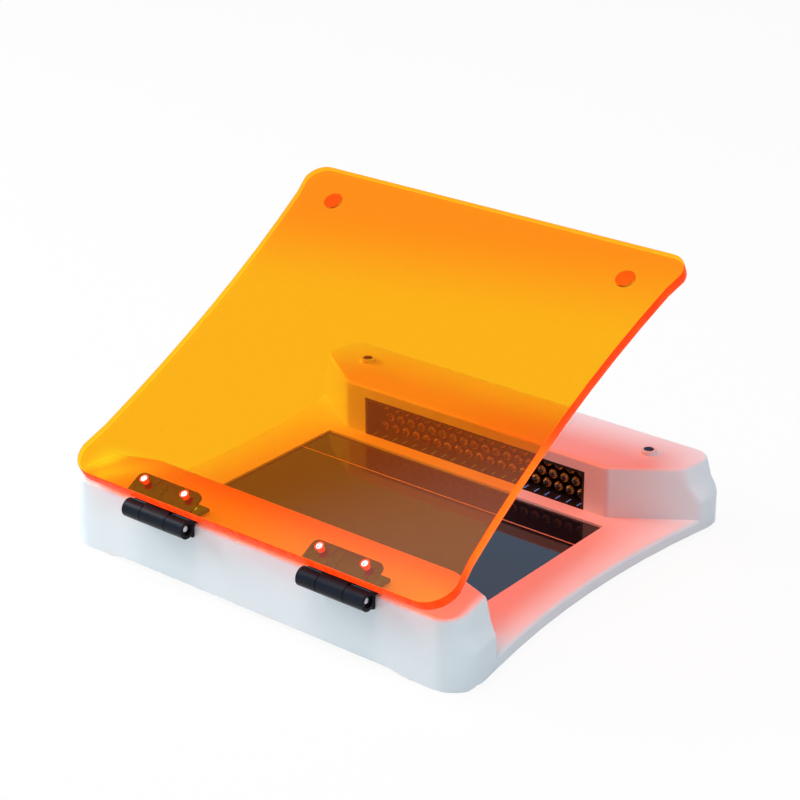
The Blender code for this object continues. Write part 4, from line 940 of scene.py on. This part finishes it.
def merged_mesh(name: str, source: bpy.types.Mesh, places: Iterable[Matrix]) -> bpy.types.Mesh:
    """One mesh of many copies.

    Args:
        name: the new mesh's name.
        source: the mesh that is copied.
        places: where each copy goes.

    Returns:
        The mesh.
    """
    bm = bmesh.new()
    for place in places:
        copy = source.copy()
        copy.transform(place)
        bm.from_mesh(copy)
        bpy.data.meshes.remove(copy)
    mesh = bpy.data.meshes.new(name)
    bm.to_mesh(mesh)
    bm.free()
    return mesh


def box_mesh(name: str, low: Sequence[float], high: Sequence[float]) -> bpy.types.Mesh:
    """A box between two corners.

    Args:
        name: the mesh's name.
        low: the corner with the lowest coordinates.
        high: the corner with the highest.

    Returns:
        The mesh.
    """
    bm = bmesh.new()
    bmesh.ops.create_cube(bm, size=1.0)
    size = [b - a for a, b in zip(low, high)]
    middle = [(a + b) / 2 for a, b in zip(low, high)]
    bmesh.ops.transform(bm, matrix=Matrix.Translation(middle) @ Matrix.Diagonal((*size, 1.0)), verts=bm.verts)
    mesh = bpy.data.meshes.new(name)
    bm.to_mesh(mesh)
    bm.free()
    return mesh


@dataclass
class Housing:
    """The white shell with its latch posts, and the magnets in the posts."""

    magnet_edge: float = 0.0002

    def build(self) -> None:
        """Dresses the shell and the magnets."""
        dress("housing_shell", SHELL_WHITE)
        for side in SIDES:
            dress(f"latch_magnet_{side}", MAGNET_DARK, edge=self.magnet_edge)


@dataclass
class GlassStage:
    """The dark glass, the strip of it beside the LED bar, and the thin divider between them."""

    edge: float = 0.00015

    def build(self) -> None:
        """Dresses the glass and the divider."""
        dress("viewing_glass", FILTER_DARK, edge=self.edge)
        dress("rear_glass_strip", FILTER_DARK, edge=self.edge)
        dress("glass_divider", DIVIDER_WHITE)


@dataclass
class LightBar:
    """The tray behind the light window, the board with three rows of LEDs, and what cools and drives them."""

    row_counts: tuple[int, ...] = (19, 18, 19)
    row_pitch: float = 0.0054
    lowest_row: float = 0.0107
    lamp_pitch: float = 0.0064
    lamp_radius: float = 0.0025
    lamp_length: float = 0.0069
    lamp_sunk: float = 0.0002
    lamp_segments: int = 20
    dome_steps: int = 6
    collar_share: float = 1.14
    collar_height: float = 0.0008
    collar_slope: float = 0.0001
    board_thickness: float = 0.0016
    board_edge: float = 0.0002
    sink_edge: float = 0.00015
    driver_edge: float = 0.0001

    def lamp_profile(self) -> list[tuple[float, float]]:
        """A lamp's outline from its base on the board to the tip of its dome.

        Returns:
            (radius, height) pairs.
        """
        shaft = self.lamp_length - self.lamp_radius
        collar = self.lamp_radius * self.collar_share
        profile = [
            (0, -self.lamp_sunk),
            (collar, -self.lamp_sunk),
            (collar, self.collar_height),
            (self.lamp_radius, self.collar_height + self.collar_slope),
        ]
        for k in range(self.dome_steps):
            turn = math.pi / 2 * k / self.dome_steps
            profile.append((self.lamp_radius * math.cos(turn), shaft + self.lamp_radius * math.sin(turn)))
        profile.append((0, self.lamp_length))
        return profile

    def lamp_places(self, board_face: float) -> list[Matrix]:
        """Where each lamp stands on the board.

        Args:
            board_face: the Y of the board's face.

        Returns:
            One matrix for each lamp.
        """
        turn = Matrix.Rotation(math.pi / 2, 4, "X")
        places = []
        for row, count in enumerate(self.row_counts):
            for k in range(count):
                x = (k - (count - 1) / 2) * self.lamp_pitch
                z = self.lowest_row + row * self.row_pitch
                places.append(Matrix.Translation((x, board_face, z)) @ turn)
        return places

    def build_board(self) -> None:
        """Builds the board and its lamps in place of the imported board."""
        low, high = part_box("led_board")
        face = high.y - self.board_thickness
        board = new_piece("led_board_sheet", box_mesh("led_board_sheet", (low.x, face, low.z), high))
        refine(board, self.board_edge)
        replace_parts(finished(board, LAMP_BOARD, Body.BASE), "led_board")
        lamp = turned_mesh("lamp", self.lamp_profile(), self.lamp_segments)
        lamps = new_piece("led_lamps", merged_mesh("led_lamps", lamp, self.lamp_places(face)))
        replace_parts(finished(lamps, LAMP_LENS, Body.BASE), "led_board")

    def build(self) -> None:
        """Builds the board with its lamps, and dresses the tray, the sink and the driver."""
        dress("led_tray", TRAY_BLACK)
        self.build_board()
        dress("heat_sink", SINK_METAL, edge=self.sink_edge)
        dress("driver_board", DRIVER_BOARD, edge=self.driver_edge)
        for side in SIDES:
            dress(f"driver_screw_{side}", SCREW_PLATED)


@dataclass
class Cover:
    """The hinged amber sheet with the strikes that meet the magnets and the screws that hold its leaves."""

    opening: float = math.radians(28.6)
    axis: Point = (0.0, -0.102586, 0.0316)
    sheet_top: float = 0.0414
    flatness: float = 0.99
    screw_y: float = -0.0919363
    screw_xs: tuple[float, ...] = (-0.0608, -0.0368, 0.0392, 0.0632)
    hole_radius: float = 0.0017
    ring_width: float = 0.0004
    ring_height: float = 0.00012
    ring_segments: int = 32
    strike_edge: float = 0.0003
    leaf_edge: float = 0.0002
    screw_edge: float = 0.0002

    def open_matrix(self, x: float, y: float, z: float) -> Matrix:
        """Places a point of the shut cover on the open one.

        Args:
            x: along the hinge.
            y: away from the hinge, with the cover shut.
            z: above the floor, with the cover shut.

        Returns:
            The matrix that takes a mesh made at the origin there.
        """
        hinge = Matrix.Translation(self.axis) @ Matrix.Rotation(self.opening, 4, "X")
        return hinge @ Matrix.Translation(Vector((x, y, z)) - Vector(self.axis))

    def build_painted_glow_rings(self, glow: PaintedEdgeGlow) -> None:
        """Lays a thin ring of painted glow round the mouth of each screw hole.

        Args:
            glow: what the rings are finished with.
        """
        outer = self.hole_radius + self.ring_width
        middle = self.hole_radius + self.ring_width / 2
        profile = [(self.hole_radius, 0), (middle, self.ring_height), (outer, 0)]
        ring = turned_mesh("hole_ring", profile, self.ring_segments)
        places = [self.open_matrix(x, self.screw_y, self.sheet_top) for x in self.screw_xs]
        rings = new_piece("cover_hole_painted_glow_rings", merged_mesh("cover_hole_painted_glow_rings", ring, places))
        finished(rings, glow, Body.COVER)

    def half_sheet(self, name: str, finish: Acrylic, faces: bool) -> None:
        """Stands the faces or the edges of the amber sheet in for it.

        Args:
            name: the new piece's name.
            finish: what it is finished with.
            faces: True for the two flat faces, False for the edges and the holes.
        """
        up = Vector(finish.upward())
        mesh = welded_mesh("amber_cover", name)
        bm = bmesh.new()
        bm.from_mesh(mesh)
        bm.normal_update()
        spare = [face for face in bm.faces if (abs(face.normal.dot(up)) > self.flatness) != faces]
        bmesh.ops.delete(bm, geom=spare, context="FACES")
        bm.to_mesh(mesh)
        bm.free()
        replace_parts(finished(new_piece(name, mesh), finish, Body.COVER), "amber_cover")

    def build(self) -> None:
        """Dresses the sheet, its strikes, its leaves and its screws."""
        placed = {"axis": self.axis, "opening": self.opening}
        amber = AmberSheet("amber_sheet", Slot.AMBER, AMBER_ORANGE, roughness=0.0, **placed)
        glow = PaintedEdgeGlow("amber_edge_painted_glow", Slot.AMBER, EDGE_PAINTED_RED, roughness=0.25, **placed)
        self.half_sheet("amber_cover_faces", amber, True)
        self.half_sheet("amber_cover_painted_glow_edge", glow, False)
        # painted glow: rings of the edge's glow round the screw holes
        self.build_painted_glow_rings(glow)
        for side in SIDES:
            dress(f"cover_strike_{side}", STRIKE_METAL, Body.COVER, self.strike_edge)
            dress(f"cover_leaf_{side}", HINGE_BLACK, Body.COVER, self.leaf_edge)
        for number in range(1, len(self.screw_xs) + 1):
            dress(f"cover_screw_{number}", SCREW_PLATED, Body.COVER, self.screw_edge)


@dataclass
class Hinges:
    """The fixed leaves of the two hinges, their pins and the screws that hold them."""

    leaf_edge: float = 0.00025
    pin_edge: float = 0.0002
    screw_count: int = 4

    def build(self) -> None:
        """Dresses the leaves, pins and screws."""
        for side in SIDES:
            dress(f"base_leaf_{side}", HINGE_BLACK, edge=self.leaf_edge)
            dress(f"hinge_pin_{side}", SCREW_PLATED, edge=self.pin_edge)
        for number in range(1, self.screw_count + 1):
            dress(f"leaf_screw_{number}", SCREW_PLATED)


@dataclass
class RearPanel:
    """The power inlet and the rocker switch in the rear wall."""

    edge: float = 0.0002

    def build(self) -> None:
        """Dresses the inlet, its nut, the switch's frame and the rocker."""
        dress("power_inlet", HINGE_BLACK, edge=self.edge)
        dress("inlet_nut", SCREW_PLATED, edge=self.edge)
        dress("switch_frame", HINGE_BLACK, edge=self.edge)
        dress("power_rocker", HINGE_BLACK, Body.ROCKER, self.edge)


@dataclass
class Underside:
    """The bottom plate, its screws and the rubber feet."""

    screw_count: int = 6
    foot_count: int = 4
    foot_edge: float = 0.0003

    def build(self) -> None:
        """Dresses the plate, the screws and the feet."""
        dress("bottom_plate", PLATE_METAL)
        for number in range(1, self.screw_count + 1):
            dress(f"plate_screw_{number}", SCREW_PLATED)
        for number in range(1, self.foot_count + 1):
            dress(f"foot_{number}", FOOT_RUBBER, edge=self.foot_edge)


@dataclass(frozen=True)
class SoftLamp:
    """A soft square lamp that looks at the object, with its side in metres and its power in watts."""

    name: str
    place: Point
    size: float
    power: float
    color: Color
    aim: Point = (0.0, 0.0, 0.03)

    def build(self) -> None:
        """Hangs the lamp, so that it isn't seen through the amber sheet."""
        data = bpy.data.lights.new(self.name, "AREA")
        data.size = self.size
        data.energy = self.power
        data.color = self.color
        lamp = bpy.data.objects.new(self.name, data)
        lamp.location = self.place
        lamp.visible_transmission = False
        lamp.rotation_euler = (Vector(self.aim) - Vector(self.place)).to_track_quat("-Z", "Y").to_euler()
        bpy.context.scene.collection.objects.link(lamp)


WARM_LIGHT: Color = (1.0, 0.98, 0.95)
LAMPS = (
    SoftLamp("key", (-1.6, -0.5, 0.95), 0.8, 27.0, WARM_LIGHT),
    SoftLamp("top", (-0.06, -0.36, 1.7), 0.9, 28.0, WARM_LIGHT),
    SoftLamp("front", (-0.25, -1.6, 0.36), 0.9, 4.2, (0.86, 0.96, 1.0)),
    SoftLamp("side", (1.5, 0.2, 0.35), 0.9, 6.0, (0.82, 0.92, 1.0)),
)


@dataclass
class Studio:
    """The camera at the photograph's angle, a pale floor and a plain world, with the soft lamps."""

    eye: Point = (0.56251, -0.692771, 0.46583)
    target: Point = (-0.00419, 0.008409, 0.06055)
    roll: float = math.radians(-0.2865)
    lens: float = 99.09
    sensor: float = 36.0
    floor_size: float = 8.0
    floor_drop: float = 0.0003
    floor_colors: tuple[Color, Color] = ((0.64, 0.65, 0.66), (0.68, 0.69, 0.7))
    floor_cloud_scale: float = 3.0
    floor_cloud_detail: float = 3.0
    floor_white: float = 0.93
    fill: float = 0.12
    fill_color: Color = (0.93, 0.97, 1.0)
    low_sky: Color = (0.45, 0.7, 1.0)
    high_sky: Color = (0.13, 0.1, 0.09)
    sky_band: Span = (0.5, 0.72)
    glare: Point = (-0.4, -0.25, 0.88)
    glare_band: Span = (0.945, 0.962)

    def build(self) -> None:
        """Makes the camera, the floor, the world and the lamps."""
        self.make_camera()
        self.make_floor()
        self.make_world()
        for lamp in LAMPS:
            lamp.build()

    def make_camera(self) -> None:
        """Places the camera."""
        forward = (Vector(self.target) - Vector(self.eye)).normalized()
        level = forward.cross(Vector(UPWARD)).normalized()
        right = Matrix.Rotation(self.roll, 3, -forward) @ level
        up = right.cross(forward)
        matrix = Matrix((right, up, -forward)).transposed().to_4x4()
        matrix.translation = self.eye
        data = bpy.data.cameras.new("camera")
        data.lens = self.lens
        data.sensor_width = self.sensor
        camera = bpy.data.objects.new("camera", data)
        bpy.context.scene.collection.objects.link(camera)
        camera.matrix_world = matrix
        bpy.context.scene.camera = camera

    def make_floor(self) -> None:
        """A pale floor that shows white and keeps the object's shadow, and lets a view from below through."""
        half = self.floor_size / 2
        low = -self.floor_drop
        mesh = bpy.data.meshes.new("floor")
        outline = [(-half, -half, low), (half, -half, low), (half, half, low), (-half, half, low)]
        mesh.from_pydata(outline, [], [(0, 1, 2, 3)])
        floor = bpy.data.objects.new("floor", mesh)
        bpy.context.scene.collection.objects.link(floor)
        material = bpy.data.materials.new("floor_pale")
        tree = Tree(material)
        clouds = tree.noise(self.floor_cloud_scale, self.floor_cloud_detail)
        pale = tree.blend(clouds, *self.floor_colors)
        matt = tree.node("ShaderNodeBsdfDiffuse", {}, {"Color": pale})
        white = tree.node("ShaderNodeEmission", {}, {"Color": WHITE, "Strength": 1.0})
        shown = tree.mix(tree.ray("Camera", "Glossy", "Transmission") * self.floor_white, matt, white)
        clear = tree.node("ShaderNodeBsdfTransparent")
        both = tree.mix(tree.backfacing(), shown, clear)
        tree.node("ShaderNodeOutputMaterial", {}, {"Surface": both.outputs[0]})
        mesh.materials.append(material)
        floor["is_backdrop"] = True

    def make_world(self) -> None:
        """White where it is seen, a horizon, a dim ceiling and a bright patch in gloss, and a plain fill."""
        world = bpy.data.worlds.new("studio")
        bpy.context.scene.world = world
        tree = Tree(world)
        fill = tree.node("ShaderNodeBackground", {}, {"Color": self.fill_color, "Strength": self.fill})
        white = tree.node("ShaderNodeBackground", {}, {"Color": WHITE, "Strength": 1.0})
        direction = tree.node("ShaderNodeTexCoord").outputs["Generated"]
        sky = tree.blend(tree.dot(direction, UPWARD).step(*self.sky_band), self.low_sky, self.high_sky)
        glare = tree.dot(direction, self.glare).step(*self.glare_band)
        color = tree.blend(glare, sky, WHITE)
        mirrored = tree.node("ShaderNodeBackground", {}, {"Color": color, "Strength": 1.0})
        unseen = tree.mix(tree.ray("Glossy"), fill, mirrored)
        shown = tree.mix(tree.ray("Camera", "Transmission"), unseen, white)
        tree.node("ShaderNodeOutputWorld", {}, {"Surface": shown.outputs[0]})


def corners() -> list[list[float]]:
    """The shown object's lowest and highest corners, as plain lists."""
    return [list(corner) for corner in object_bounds()]


def main() -> None:
    """Builds the studio and every sub-assembly."""
    logging.basicConfig(level=logging.INFO, format="%(message)s")
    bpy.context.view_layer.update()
    bpy.context.scene.view_settings.view_transform = "Standard"
    Studio().build()
    assemblies = (Housing(), GlassStage(), LightBar(), Cover(), Hinges(), RearPanel(), Underside())
    for assembly in assemblies:
        log.info("%s", type(assembly).__name__)
        assembly.build()


if __name__ == "__main__":
    main()
